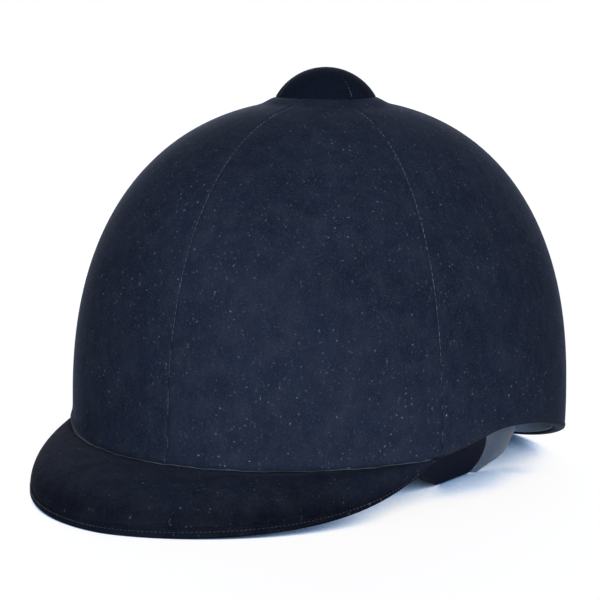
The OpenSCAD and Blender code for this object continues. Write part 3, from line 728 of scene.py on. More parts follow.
@dataclass(frozen=True)
class Effect:
    """A shader node group that several finishes share: built once, placed with values of its own."""

    name: ClassVar[str]
    inputs: ClassVar[dict[str, float]]
    outputs: ClassVar[tuple[str, ...]]

    def fill(self, g: Graph, given: dict[str, Socket]) -> dict[str, Socket]:
        """Makes the group's nodes from the sockets of its inputs, and gives the one that feeds each output."""
        raise NotImplementedError

    def tree(self) -> bpy.types.NodeTree:
        """The group, built when it is first asked for.

        Returns:
            The group's node tree.
        """
        tree = bpy.data.node_groups.get(self.name)
        if tree is not None:
            return tree
        tree = bpy.data.node_groups.new(self.name, "ShaderNodeTree")
        for key, value in self.inputs.items():
            tree.interface.new_socket(key, in_out="INPUT", socket_type="NodeSocketFloat").default_value = value
        for key in self.outputs:
            tree.interface.new_socket(key, in_out="OUTPUT", socket_type="NodeSocketFloat")
        g = Graph(tree)
        entry = g.node("NodeGroupInput")
        g.node("NodeGroupOutput", self.fill(g, {key: entry.outputs[key] for key in self.inputs}))
        return tree

    def on(self, g: Graph, **values: float) -> dict[str, Socket]:
        """Places the group in a material, with values of its own, and gives its outputs by name."""
        made = g.node("ShaderNodeGroup", values, node_tree=self.tree())
        return {key: made.outputs[key] for key in self.outputs}


@dataclass(frozen=True)
class Lint(Effect):
    """Specks of lint, one to a chosen cell, frayed, and drawn out upwards by their stretch."""

    name = "Lint"
    inputs = {"Density": 250.0, "Size": 0.1, "Share": 0.1, "Seed": 0.0, "Stretch": 1.0}
    outputs = ("Specks",)
    fray_scale: float = 1300.0
    fray: float = 1.4
    rarity: float = 5.0
    faintest: float = 0.17
    cloud_scale: float = 18.0
    cloud: tuple[float, float, float, float] = (0.34, 0.58, 0.3, 1.0)
    edge: float = 0.7

    def fill(self, g: Graph, given: dict[str, Socket]) -> dict[str, Socket]:
        """Makes the specks: few are bright, and some places have more of them."""
        ragged = g.noise(g.place(), self.fray_scale, 1.0, output="Color")
        pulled = g.scaled(g.vector("SUBTRACT", ragged, (0.5, 0.5, 0.5)), self.fray * MM)
        x, y, z = g.split(g.vector("ADD", g.place(), pulled))
        moved = {0: g.math("ADD", x, given["Seed"]), 1: y, 2: g.math("DIVIDE", z, given["Stretch"])}
        cell = g.cells(g.node("ShaderNodeCombineXYZ", moved).outputs[0], given["Density"]).outputs
        chance, bright = g.split(cell["Color"])[:2]
        near = g.math("SUBTRACT", 1.0, g.math("DIVIDE", cell["Distance"], given["Size"]), clamp=True)
        soft = g.times(g.math("POWER", near, self.edge), g.math("LESS_THAN", chance, given["Share"]))
        light = g.span(g.math("POWER", bright, self.rarity), 0.0, 1.0, self.faintest, 1.0)
        return {"Specks": g.times(soft, g.times(light, g.span(g.noise(g.place(), self.cloud_scale), *self.cloud)))}


@dataclass(frozen=True)
class Nap(Effect):
    """Brushed pile: broad patches, upright streaks, a fine grain and dust."""

    name = "Brushed nap"
    inputs = {"Patches": 14.0, "Streaks": 240.0, "Grain": 1600.0, "Dust": 95.0}
    outputs = ("Tone", "Grain", "Dust")
    upright: Colour = (1.0, 1.0, 0.45)
    dusty: tuple[float, float] = (0.42, 0.72)

    def fill(self, g: Graph, given: dict[str, Socket]) -> dict[str, Socket]:
        """Makes the pile's tone, its grain and where its dust lies."""
        place = g.place()
        broad = g.noise(place, given["Patches"], 4.0, 0.6)
        streak = g.noise(g.vector("MULTIPLY", place, self.upright), given["Streaks"], 3.0, 0.65)
        return {"Tone": g.weigh(broad, 0.6, streak, 0.4), "Grain": g.noise(place, given["Grain"], 2.0, 0.7),
                "Dust": g.span(g.noise(place, given["Dust"], 4.0, 0.75), *self.dusty)}


@dataclass(frozen=True)
class Hide(Effect):
    """Leather: small cells with creases between them, and soft wear."""

    name = "Leather grain"
    inputs = {"Pores": 900.0, "Folds": 120.0}
    outputs = ("Height", "Wear")
    crease: float = 0.12
    wear_scale: float = 60.0
    worn: tuple[float, float] = (0.5, 0.75)

    def fill(self, g: Graph, given: dict[str, Socket]) -> dict[str, Socket]:
        """Makes the grain's height and where the leather is worn."""
        place = g.place()
        crease = g.span(g.cells(place, given["Pores"], Cells.TO_EDGE).outputs["Distance"], 0.0, self.crease)
        wave = g.noise(place, given["Folds"], 3.0, 0.6)
        wear = g.span(g.noise(place, self.wear_scale, 3.0), *self.worn)
        return {"Height": g.weigh(crease, 0.6, wave, 0.4), "Wear": wear}


@dataclass(frozen=True)
class Skin(Effect):
    """A moulded or turned skin's fine texture and its faint scuffs."""

    name = "Moulded skin"
    inputs = {"Texture": 2200.0, "Scuffs": 90.0}
    outputs = ("Height", "Wear")
    drawn_out: Colour = (1.0, 0.15, 1.0)
    scuffed: tuple[float, float] = (0.55, 0.8)

    def fill(self, g: Graph, given: dict[str, Socket]) -> dict[str, Socket]:
        """Makes the texture's height and where the skin is scuffed."""
        place = g.place()
        scuff = g.noise(g.vector("MULTIPLY", place, self.drawn_out), given["Scuffs"], 4.0, 0.7)
        return {"Height": g.noise(place, given["Texture"], 2.0, 0.6), "Wear": g.span(scuff, *self.scuffed)}


LINT, NAP, HIDE, SKIN = Lint(), Nap(), Hide(), Skin()


@dataclass(frozen=True)
class Surface:
    """What a finish's own nodes give its shader: colour, height of its relief, and roughness."""

    colour: Socket
    height: Socket
    roughness: Socket | float


@dataclass(frozen=True)
class Finish:
    """What every finish has: its name, its colour and the plain values of its shader."""

    name: str
    colour: Colour
    roughness: float = 0.8
    specular: float = 0.5
    sheen: float = 0.0
    metallic: float = 0.0
    dark: float = 1.0
    light: float = 1.0
    depth: float = 0.1
    relief: float = 0.6

    def shade(self, k: float) -> tuple[float, float, float, float]:
        """The finish's colour made lighter or darker."""
        return (*(min(c * k, 1.0) for c in self.colour), 1.0)

    def tones(self, g: Graph, share: Socket) -> Socket:
        """The finish's colour between its dark and its light tone."""
        return g.blend(share, self.shade(self.dark), self.shade(self.light))

    def plain(self) -> dict[str, object]:
        """The values that are the same all over the surface."""
        return {"Base Color": self.shade(1.0), "Roughness": self.roughness, "Metallic": self.metallic,
                "Specular IOR Level": self.specular, "Sheen Weight": self.sheen}

    def surface(self, g: Graph) -> Surface:
        """Makes the nodes that change over the surface, and gives what they feed to the shader."""
        raise NotImplementedError

    def build(self) -> bpy.types.Material:
        """The finished material.

        Returns:
            The material, whose Principled shader has its plain values and its nodes.
        """
        made = bpy.data.materials.new(self.name)
        made.use_nodes = True
        made.diffuse_color = (*self.colour, 1.0)
        g = Graph(made.node_tree)
        shader = g.put(made.node_tree.nodes["Principled BSDF"], self.plain())
        look = self.surface(g)
        g.put(shader, {"Base Color": look.colour, "Roughness": look.roughness,
                       "Normal": g.bump(look.height, self.depth * MM, self.relief)})
        return made


@dataclass(frozen=True)
class Velvet(Finish):
    """Cut pile with a bluish sheen, a brushed nap, dust and specks of lint."""

    roughness: float = 0.95
    specular: float = 0.03
    sheen: float = 0.12
    dark: float = 0.72
    light: float = 1.28
    depth: float = 0.25
    sheen_roughness: float = 0.2
    sheen_tint: Colour = (0.55, 0.66, 0.95)
    tone: tuple[float, float] = (0.36, 0.64)
    fleck: tuple[float, float] = (0.5, 0.75)
    fleck_light: float = 2.4
    flecks: float = 0.8
    lint: float = 0.6
    lint_colour: Colour = (0.26, 0.31, 0.36)
    fine_lint: float = 0.9
    fibre_lint: float = 0.7
    dust: float = 0.034

    def plain(self) -> dict[str, object]:
        """The same values, with the pile's sheen."""
        return {**super().plain(), "Sheen Roughness": self.sheen_roughness, "Sheen Tint": (*self.sheen_tint, 1.0)}

    def worn(self, g: Graph, pile: Socket) -> Socket:
        """The pile's colour with the painted light and shade that some velvets get; plain velvet gets none."""
        return pile

    def specks(self, g: Graph) -> Socket:
        """Three kinds of lint: fine specks, larger dots and short upright fibres.

        Args:
            g: the material's tree.

        Returns:
            How much lint covers a point.
        """
        fine = LINT.on(g, Density=520.0, Size=0.24, Share=self.lint)["Specks"]
        dots = LINT.on(g, Density=180.0, Size=0.075, Share=self.lint * 0.8, Seed=3.7)["Specks"]
        fibres = LINT.on(g, Density=260.0, Size=0.1, Share=self.lint * 0.6, Seed=7.3, Stretch=4.0)["Specks"]
        large = g.math("MAXIMUM", dots, g.times(fibres, self.fibre_lint))
        return g.math("MAXIMUM", g.times(fine, self.fine_lint), large)

    def surface(self, g: Graph) -> Surface:
        """Makes the pile, its flecks, dust and lint."""
        nap = NAP.on(g)
        lint_colour = (*self.lint_colour, 1.0)
        pile = self.tones(g, g.span(nap["Tone"], *self.tone))
        fleck = g.times(g.span(nap["Grain"], *self.fleck), self.flecks)
        brushed = g.blend(fleck, pile, self.shade(self.fleck_light))
        dusty = g.blend(g.times(nap["Dust"], self.dust), brushed, lint_colour)
        # self.worn lays painted light and shade over the pile, on the peak's velvet only; other velvets keep the pile
        # as it is.
        colour = g.blend(self.specks(g), self.worn(g, dusty), lint_colour)
        return Surface(colour, g.weigh(nap["Grain"], 0.7, nap["Tone"], 0.5), self.roughness)


@dataclass(frozen=True)
class PaintedShadeVelvet(Velvet):
    """The peak's velvet, with painted shade at its lip and at its ends and painted light near the crown."""

    # Heights over the table between which painted shade at the lip turns into painted light near the crown, with the
    # factors at each; then distances from the middle over which painted shade darkens the ends.
    painted_light_by_height: tuple[float, float, float, float] = (9.0 * MM, 18.5 * MM, 0.68, 1.6)
    ends: tuple[float, float, float, float] = (50.0 * MM, 66.0 * MM, 1.0, 0.68)

    def worn(self, g: Graph, pile: Socket) -> Socket:
        """The pile's colour by height over the table and by distance from the middle: painted shade low at the lip
        and towards the ends, painted light high up near the crown.
        """
        across, _, height = g.split(g.place())
        level, ends = g.span(height, *self.painted_light_by_height), g.span(g.math("ABSOLUTE", across), *self.ends)
        return g.scaled(pile, g.times(level, ends))


@dataclass(frozen=True)
class Cloth(Finish):
    """Plain woven or brushed cloth."""

    specular: float = 0.2
    sheen: float = 0.15
    dark: float = 0.7
    light: float = 1.35
    depth: float = 0.15
    relief: float = 0.5
    threads: float = 900.0

    def surface(self, g: Graph) -> Surface:
        """Makes the weave and its nap."""
        x, y, z = (g.math("SINE", g.times(s, self.threads * 2)) for s in g.split(g.place()))
        weave = g.span(g.times(g.math("ADD", x, y), g.math("ADD", z, 1.2)), -2.0, 2.0)
        nap = NAP.on(g, Patches=25.0, Grain=1400.0)
        tone = g.span(g.weigh(weave, 0.4, nap["Tone"], 0.6), 0.3, 0.7)
        return Surface(self.tones(g, tone), g.math("ADD", weave, nap["Grain"]), self.roughness)


@dataclass(frozen=True)
class Webbing(Finish):
    """Woven polyester strap, whose ribs are in its mesh."""

    roughness: float = 0.7
    specular: float = 0.35
    sheen: float = 0.2
    dark: float = 0.72
    light: float = 1.2
    depth: float = 0.12

    def surface(self, g: Graph) -> Surface:
        """Makes the threads' uneven tone."""
        nap = NAP.on(g, Patches=40.0, Streaks=500.0, Grain=2600.0)
        tone = g.span(g.weigh(nap["Tone"], 0.5, nap["Grain"], 0.5), 0.35, 0.65)
        return Surface(self.tones(g, tone), nap["Grain"], self.roughness)


@dataclass(frozen=True)
class Worn(Finish):
    """A surface with a grain, whose tone and roughness change where it is worn."""

    roughness: float = 0.5
    rougher: float = 0.2
    effect: ClassVar[Effect]

    def values(self) -> dict[str, float]:
        """The effect's inputs that differ from the usual ones."""
        return {}

    def surface(self, g: Graph) -> Surface:
        """Makes the grain and its wear."""
        made = self.effect.on(g, **self.values())
        rough = g.span(made["Wear"], 0.0, 1.0, self.roughness, self.roughness + self.rougher)
        return Surface(self.tones(g, made["Wear"]), made["Height"], rough)


@dataclass(frozen=True)
class Leather(Worn):
    """Grained leather, darker in its creases and duller where it is worn."""

    specular: float = 0.12
    dark: float = 0.85
    light: float = 1.6
    relief: float = 0.5
    pores: float = 900.0
    effect = HIDE

    def values(self) -> dict[str, float]:
        """How fine the grain is."""
        return {"Pores": self.pores}


@dataclass(frozen=True)
class Moulded(Worn):
    """Moulded or turned plastic with a fine skin."""

    dark: float = 0.9
    light: float = 1.7
    depth: float = 0.05
    effect = SKIN


@dataclass(frozen=True)
class Plated(Worn):
    """Plated steel with fine turning marks and dull spots."""

    roughness: float = 0.28
    rougher: float = 0.25
    metallic: float = 1.0
    light: float = 0.7
    depth: float = 0.03
    relief: float = 0.4
    effect = SKIN

    def values(self) -> dict[str, float]:
        """Broader marks and smaller scuffs than on plastic."""
        return {"Texture": 1500.0, "Scuffs": 200.0}


@dataclass(frozen=True)
class Foam(Finish):
    """Expanded beads pressed together."""

    roughness: float = 0.9
    specular: float = 0.25
    dark: float = 0.5
    light: float = 1.2
    depth: float = 0.5
    relief: float = 0.7
    beads: float = 320.0
    groove: float = 0.25

    def surface(self, g: Graph) -> Surface:
        """Makes the beads, with painted shade darkening the grooves between them."""
        dome = g.span(g.cells(g.place(), self.beads, Cells.TO_EDGE).outputs["Distance"], 0.0, self.groove)
        return Surface(self.tones(g, dome), dome, self.roughness)


@dataclass(frozen=True)
class Thread(Finish):
    """Sewing thread, lighter where the light catches its twist."""

    roughness: float = 0.6
    specular: float = 0.1
    sheen: float = 0.2
    dark: float = 0.75
    light: float = 2.2
    depth: float = 0.08
    relief: float = 0.7
    patches: float = 160.0
    twist: float = 3000.0

    def surface(self, g: Graph) -> Surface:
        """Makes the thread's patches of light and its twist."""
        patch = g.span(g.noise(g.place(), self.patches, 2.0, 0.7), 0.4, 0.66)
        return Surface(self.tones(g, patch), g.noise(g.place(), self.twist, 1.0), self.roughness)


class Look(Enum):
    """Every finish on the helmet."""

    CROWN = Velvet("crown_velvet", (0.0134, 0.0198, 0.0408), sheen=0.1, lint=0.7)
    # The peak's and the button's velvet are darker copies of the crown's velvet: painted shade.
    PEAK = PaintedShadeVelvet("peak_velvet", (0.0088, 0.0122, 0.0255), sheen=0.04, lint=0.4, dust=0.03)
    BUTTON = Velvet("button_velvet", (0.0050, 0.0085, 0.0180), dark=0.85, light=1.15, lint=0.02, dust=0.0)
    TAPE = Velvet("tape_velvet", (0.0145, 0.0205, 0.0390), sheen=0.08, lint=0.2)
    # The facing's pale blue is partly painted light: grey cloth raised in tone so that the shaded inner rim shows as
    # lit.
    FACING_PAINTED_LIGHT = Webbing("facing_cloth_painted_light", (0.20, 0.36, 0.60))
    UNDER_CLOTH = Cloth("under_cloth", (0.0120, 0.0135, 0.0200))
    PAD_CLOTH = Cloth("pad_cloth", (0.0300, 0.0340, 0.0460), threads=600.0, sheen=0.3, depth=0.3)
    WEBBING = Webbing("grey_webbing", (0.068, 0.108, 0.178))
    LEATHER = Leather("cheek_leather", (0.0046, 0.0056, 0.0165), specular=0.008)
    SWEAT_LEATHER = Leather("sweat_leather", (0.0240, 0.0240, 0.0300), roughness=0.55, pores=600.0, depth=0.2)
    FOAM = Foam("bead_foam", (0.055, 0.055, 0.060))
    SHELL = Moulded("shell_plastic", (0.030, 0.030, 0.035), roughness=0.55)
    PEAK_CORE = Moulded("peak_plastic", (0.025, 0.025, 0.030))
    BUTTON_CORE = Moulded("core_plastic", (0.050, 0.045, 0.040), roughness=0.6)
    BUCKLE = Moulded("buckle_plastic", (0.010, 0.010, 0.012), roughness=0.38)
    STEEL = Plated("plated_steel", (0.50, 0.50, 0.52))
    SEAM_THREAD = Thread("seam_thread", (0.052, 0.064, 0.090))
    HEM_LINE = Thread("hem_line", (0.029, 0.038, 0.054), light=4.5, patches=34.0)
    LIP_THREAD = Thread("lip_thread", (0.026, 0.034, 0.044))
    DARK_THREAD = Thread("dark_thread", (0.008, 0.011, 0.020), light=1.4, sheen=0.0)


class Finishes:
    """The materials of the helmet, each made once."""

    def __init__(self) -> None:
        """Starts with none made."""
        self.made: dict[Look, bpy.types.Material] = {}

    def dress(self, piece: Piece, look: Look) -> None:
        """Gives a piece that finish and no other.

        Args:
            piece: the object to dress.
            look: its finish, which is built when it is first asked for.
        """
        if look not in self.made:
            self.made[look] = look.value.build()
        piece.data.materials.clear()
        piece.data.materials.append(self.made[look])


@dataclass
class Assembly:
    """What every sub-assembly shares: its finishes and the ways to hand over a piece."""

    finishes: Finishes

    def finish(self, piece: Piece, look: Look, slot: Slot, stands_for: Sequence[str] = (),
               body: str = HELMET) -> Piece:
        """Dresses a new piece and makes it ride.

        Args:
            piece: the new object.
            look: its finish.
            slot: the record's material slot; not used.
            stands_for: the nodes that it replaces.
            body: the body it moves with.

        Returns:
            The same object.
        """
        self.finishes.dress(piece, look)
        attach(piece, body)
        if stands_for:
            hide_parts(*stands_for)
        log.info("%s rides on %s, %d faces", piece.name, body, len(piece.data.polygons))
        return piece

    def lay(self, name: str, outer: Array, inner: Array, look: Look, slot: Slot, stands_for: Sequence[str] = (),
            body: str = HELMET, wrap: bool = False, sharp: float = 50.0, fill: float | None = None) -> Piece:
        """Makes a closed piece between two grids of points and hands it over.

        Args:
            name: the piece's name.
            outer: points of the one face, in metres.
            inner: points of the other.
            look: its finish.
            slot: the record's material slot.
            stands_for: the nodes that it replaces.
            body: the body it moves with.
            wrap: whether the grids close on themselves.
            sharp: angle above which an edge stays sharp.
            fill: how tightly it is filled, where it is a pad; not used.

        Returns:
            The piece.
        """
        parts = MeshParts()
        parts.shell(outer, inner, wrap)
        piece = self.finish(parts.build(name, sharp), look, slot, stands_for, body)
        return piece

    def sew(self, name: str, sewing: Sewing, rows: Iterable[tuple[Array, Array]], look: Look, slot: Slot,
            body: str = HELMET, **choices: Callable[[float], float]) -> Piece:
        """Makes a piece of stitches and hands it over.

        Args:
            name: the piece's name.
            sewing: the kind of stitch.
            rows: each row's points, in metres, and the way out from them.
            look: its finish.
            slot: the record's material slot.
            body: the body it moves with.
            choices: which stitches are there and their sizes, as Sewing.add takes them.

        Returns:
            The piece.
        """
        parts = MeshParts()
        for path, out in rows:
            sewing.add(parts, path, out, **choices)
        return self.finish(parts.build(name), look, slot, body=body)


@dataclass
class Crown(Assembly):
    """Six velvet panels, their seams, the hem over the peak and the tape round the rim."""

    panel_names: tuple[str, ...] = (
        "panel_front_left", "panel_side_left", "panel_rear_left",
        "panel_rear_right", "panel_side_right", "panel_front_right",
    )
    panel_turn: float = 60.0
    columns: int = 56
    rows: int = 110
    coarse_rows: float = 0.9
    coarse_share: float = 0.955
    seam_gap: float = 0.3
    seam_depth: float = 0.4
    seam_ends: tuple[float, float] = (0.11, 0.985)
    valley: Ridge = Ridge(0.28, 0.0, 0.9)
    shoulder: Ridge = Ridge(-0.06, 2.4, 1.6)
    hem_roll: Ridge = Ridge(-1.0, 2.6, 2.7)
    hem_tuck: Ridge = Ridge(0.5, 0.0, 0.9)
    gathers: Ridge = Ridge(0.16, 4.0, 4.0)
    gather_waves: tuple[float, float] = (17.0, 5.3)
    peak_fades: tuple[float, float] = (50.0, 12.0)
    collar_height: float = 2.1
    collar_rises: tuple[float, float] = (14.0, 7.0)
    collar_falls: tuple[float, float] = (21.5, 9.0)
    thread_end: float = 57.0
    tape_start: float = 0.6
    tape_roll: float = 1.7
    binding_outside: float = 3.0
    binding_inside: float = 5.0
    facing_wall: float = 0.45
    seam_sewing: Sewing = Sewing(2.6, 0.15, 0.17, rise=1.4)
    rim_sewing: Sewing = Sewing(2.0, 1.2, 0.1)

    def hem(self, az: Array) -> Array:
        """Lower edge of the panels.

        Args:
            az: angles from the front.

        Returns:
            The heights, over the peak's velvet in front and over the tape behind it.
        """
        a = FORM.folded(az)
        over_peak = FORM.free_gap - (FORM.edge_wall + FORM.cloth_gap) * FORM.peak_thin(np.minimum(a, FORM.peak_angle))
        return FORM.rim(az) + np.where(a < FORM.front_end, over_peak, FORM.binding_wall + FORM.tape_gap)

    def relief(self, az: Array, z: Array, seam: Array, far: Array) -> Array:
        """How far the velvet's outside lies inside its nominal surface.

        Args:
            az: angles from the front.
            z: heights over the widest level.
            seam: distance along the surface to the nearest seam.
            far: level distance from the crown's middle.

        Returns:
            The inset, which is negative where the hem rolls outwards.
        """
        a = FORM.folded(az)
        above = z - self.hem(az)
        waves = sin_deg(a * self.gather_waves[0]) * sin_deg(a * self.gather_waves[1])
        rolled = self.hem_roll.over(above) + self.hem_tuck.over(above) + self.gathers.over(above) * waves
        sewn = self.valley.over(seam) + self.shoulder.over(seam)
        return sewn + rolled * (1 - ramp(a, *self.peak_fades)) - self.collar(far)

    def collar(self, far: Array) -> Array:
        """Height of the velvet that bunches up round the button, by distance from the top's middle."""
        return self.collar_height * ramp(far, *self.collar_rises) * (1 - ramp(far, *self.collar_falls))

    def place(self, az: Array, v: Array, depth: float) -> Array:
        """Point of the velvet.

        Args:
            az: angles from the front.
            v: share of the way down.
            depth: depth under the velvet's outside.

        Returns:
            The points, in the crown's own frame.
        """
        low, half = self.hem(az), self.panel_turn / 2
        flat = FORM.surface(az, v, low, np.zeros_like(v + az))
        far = np.hypot(flat[..., 0], flat[..., 1])
        seam = np.radians(np.abs((az + half) % self.panel_turn - half)) * far
        inset = self.relief(az, flat[..., 2], seam, far)
        if depth > 0:
            inset = np.minimum(inset, 0) + depth
        return FORM.surface(az, v, low, inset)

    def panel(self, number: int) -> Piece:
        """One velvet panel between two seams.

        Args:
            number: which of the six, from the front leftwards.

        Returns:
            The panel.
        """
        slack = math.degrees(self.seam_gap / 2 / FORM.half_width)
        spread = (1 - np.cos(np.linspace(0, np.pi, self.columns))) / 2
        az = number * self.panel_turn + slack + spread * (self.panel_turn - 2 * slack)
        v = np.interp(np.linspace(0, 1, self.rows), (0, self.coarse_rows, 1), (0, self.coarse_share, 1))
        grid = np.meshgrid(az, v)
        outer, inner = (FORM.seated(self.place(*grid, depth)) for depth in (0.0, FORM.velvet_wall))
        name = self.panel_names[number]
        return self.lay(f"velvet_{name}", outer, inner, Look.CROWN, Slot.VELVET, [name], sharp=70)

    def seam_row(self, az: float) -> tuple[Array, Array]:
        """A row down a seam.

        Args:
            az: the seam's angle from the front.

        Returns:
            Its points, in metres, and the way out from them.
        """
        v = np.linspace(*self.seam_ends, 240)
        around = np.full_like(v, az)
        deep, high = (FORM.surface(around, v, self.hem(around), np.full_like(v, inset))
                      for inset in (self.seam_depth, -2.0))
        path, out = FORM.row_and_out(deep, high)
        return path, unit(out)

    def seams(self) -> None:
        """A row of stitches down each seam, thinner and more often missing low down."""
        draw = np.random.default_rng(11)
        for number in range(len(self.panel_names)):
            self.sew(f"seam_stitches_{number + 1}", self.seam_sewing, [self.seam_row(number * self.panel_turn)],
                     Look.SEAM_THREAD, Slot.WEBBING,
                     keep=lambda share: draw.random() > 0.03 + 0.35 * float(ramp(share, 0.7, 0.3)),
                     size=lambda share: 1 - 0.4 * float(ramp(share, 0.55, 0.3)))

    def hem_line(self) -> None:
        """The thread that shows where the crown's hem meets the peak, a little uneven."""
        az = np.linspace(-self.thread_end, self.thread_end, 500)
        wave = 0.12 * sin_deg(az * 31) + 0.08 * sin_deg(az * 77)
        path = FORM.seated(FORM.wall(az, self.hem(az) + 0.2 + wave, 0.5 * wave - 0.35))
        parts = MeshParts()
        parts.tube(round_rings(path, (0.08 + 0.05 * sin_deg(az * 43) ** 2) * MM))
        self.finish(parts.build("hem_thread"), Look.HEM_LINE, Slot.WEBBING)

    def rim_rows(self, profile: Iterable[tuple[float, float]], least: float) -> Array:
        """Rows round the rim behind the peak.

        Args:
            profile: each row's inset and its height over the rim.
            least: height over the table that no point goes below.

        Returns:
            The points, in metres.
        """
        start = FORM.front_end + self.tape_start
        az = np.linspace(start, 360 - start, 420)
        rows = [FORM.wall(az, FORM.rim(az) + up, np.full_like(az, inset)) for inset, up in profile]
        return FORM.seated(np.stack(rows), least)

    def tape_profile(self, depth: float) -> list[tuple[float, float]]:
        """Profile of the rim's tape, from its outer hem round the rim to its inner one.

        Args:
            depth: distance inside the tape's outside.

        Returns:
            Insets and heights over the rim.
        """
        in_share = depth / FORM.binding_wall
        out, inside = mix(-0.25, 0.0, in_share), self.facing_inset - depth
        top = [(out + 0.2 * (1 - in_share), self.binding_outside), (out + 0.05, self.binding_outside - 0.5)]
        rolled = [(mix(out, inside, (1 - cos_deg(t)) / 2), depth + (1 - sin_deg(t)) * self.tape_roll)
                  for t in np.linspace(0, 180, 17)]
        return top + rolled + [(inside, self.binding_inside)]

    @property
    def facing_inset(self) -> float:
        """Inset of the tape's inner side."""
        return FORM.shell_in + 2 * FORM.tape_gap + FORM.binding_wall

    def binding(self) -> None:
        """Velvet tape rolled round the rim behind the peak, its stitches, and the facing inside it, grey cloth
        lightened to pale blue as painted light.
        """
        outer = self.rim_rows(self.tape_profile(0.0), 0.0)
        inner = self.rim_rows(self.tape_profile(FORM.binding_wall - 0.1), 0.3)
        self.lay("rim_tape", outer, inner, Look.TAPE, Slot.TAPE, ["rim_binding"], sharp=70)
        rows = ((0.0, 9.5), (0.0, 7.0), (0.0, self.binding_inside), (0.0, 2.6), (0.0, 1.9), (-0.15, 1.6))
        faces = (self.rim_rows([(self.facing_inset + 0.05 + side + sink, up) for sink, up in rows], 0.4)
                 for side in (0.0, self.facing_wall))
        # The facing's pale blue is partly painted light on the shaded inner rim.
        self.lay("rim_facing", *faces, Look.FACING_PAINTED_LIGHT, Slot.TAPE)
        az = np.linspace(61, 299, 900)
        height = FORM.rim(az) + self.binding_outside - 0.6
        row = FORM.row_and_out(*(FORM.wall(az, height, np.full_like(az, inset)) for inset in (-0.2, -4.0)))
        self.sew("rim_stitches", self.rim_sewing, [row], Look.DARK_THREAD, Slot.TAPE)

    def build(self) -> None:
        """Makes every piece of the crown's outside."""
        for number in range(len(self.panel_names)):
            self.panel(number)
        self.seams()
        self.hem_line()
        self.binding()


@dataclass
class Button(Assembly):
    """The round button's velvet cover; its core, screw and washer stay as they are."""

    radius: float = 22.5
    height: float = 14.0
    dish: float = 0.7
    edge_rise: float = 1.5
    fold_az: float = 62.0
    fold: float = 0.55
    fold_width: float = 3.5
    pucker: float = 0.10
    pleat: float = 0.12
    turned_in: float = 0.6
    columns: int = 144
    rows: int = 40
    sewing: Sewing = Sewing(1.6, 0.25, 0.13, rise=1.2)

    def __post_init__(self) -> None:
        """Works out the ball that the top is cut from."""
        rise = self.height + self.dish - self.edge_rise
        self.ball = (self.radius**2 + rise**2) / 2 / rise
        self.edge_turn = math.degrees(math.asin(self.radius / self.ball))
        self.az = np.arange(self.columns) * 360 / self.columns
        self.base = np.array([0, 0, FORM.crown_height + FORM.free_gap])

    def ring(self, r: Array, z: Array, az: Array) -> Array:
        """Points at distances from the button's middle and heights over its foot."""
        return points(r * sin_deg(az), -r * cos_deg(az), z) + self.base

    def grid(self, depth: float) -> Array:
        """Rings from the top over the edge to the turned-in rim underneath.

        Args:
            depth: distance inside the cover's outside.

        Returns:
            The points, in metres.
        """
        rings = []
        for t in np.linspace(0.4, self.edge_turn, self.rows):
            low = ramp(t, 25, 30)
            crease = self.fold * low * bell((self.az - self.fold_az + 180) % 360 - 180, self.fold_width)
            r = (self.ball - depth) * sin_deg(t) - crease - self.pucker * low**2 * sin_deg(self.az * 23)
            rings.append((r, self.height - self.ball + (self.ball - depth) * cos_deg(t)))
        lip = 0.9 - 0.5 * depth
        edge = self.height - self.ball + self.ball * cos_deg(self.edge_turn) + 0.1
        for t in np.linspace(20, 90, 6):
            r = self.radius - depth - lip * (1 - cos_deg(t)) * 1.2
            rings.append((r, edge - lip * sin_deg(t) * 0.5 + depth * 0.8))
        for k in np.linspace(0.25, 1, 5):
            r = mix(self.radius - depth - lip, self.turned_in * self.radius, k)
            pleat = self.pleat * sin_deg(self.az * 24) * math.sin(math.pi * min(k, 0.9))
            lifted = self.edge_rise * (1 - k) ** 0.8
            rings.append((r, -self.dish * (r / self.radius) ** 2 + 0.1 + depth + pleat + lifted))
        return FORM.seated(np.stack([self.ring(r, z, self.az) for r, z in rings]))

    def stitches(self) -> None:
        """A row of stitches down the cover's one fold."""
        turn = np.linspace(0.35, 0.97, 60) * self.edge_turn
        rows = (self.ring(r * sin_deg(turn), self.height - self.ball + r * cos_deg(turn), self.fold_az)
                for r in (self.ball - 0.3, self.ball + 3.0))
        self.sew("button_stitches", self.sewing, [FORM.row_and_out(*rows)], Look.SEAM_THREAD, Slot.WEBBING)

    def close_top(self, piece: Piece) -> None:
        """Fills the small holes that are left at the cap's top, inside and out.

        Args:
            piece: the cap.
        """
        tiny = 0.6 * MM
        work = bmesh.new()
        work.from_mesh(piece.data)
        middle = FORM.seated(self.base + (0, 0, self.height))
        near = [f for f in work.faces
                if all(math.hypot(v.co.x - middle[0], v.co.y - middle[1]) < tiny for v in f.verts)]
        bmesh.ops.delete(work, geom=near, context="FACES_ONLY")
        bmesh.ops.holes_fill(work, edges=[e for e in work.edges if e.is_boundary], sides=0)
        bmesh.ops.recalc_face_normals(work, faces=work.faces)
        work.to_mesh(piece.data)
        work.free()
        piece.data.polygons.foreach_set("use_smooth", [True] * len(piece.data.polygons))

    def build(self) -> None:
        """Makes the cover with its rolled edge, its one fold and its gathers underneath."""
        outer, inner = self.grid(0.0), self.grid(FORM.velvet_wall - 0.1)
        self.close_top(self.lay("button_velvet_cap", outer, inner, Look.BUTTON, Slot.VELVET, ["button_cover"],
                                wrap=True, sharp=70))
        self.stitches()


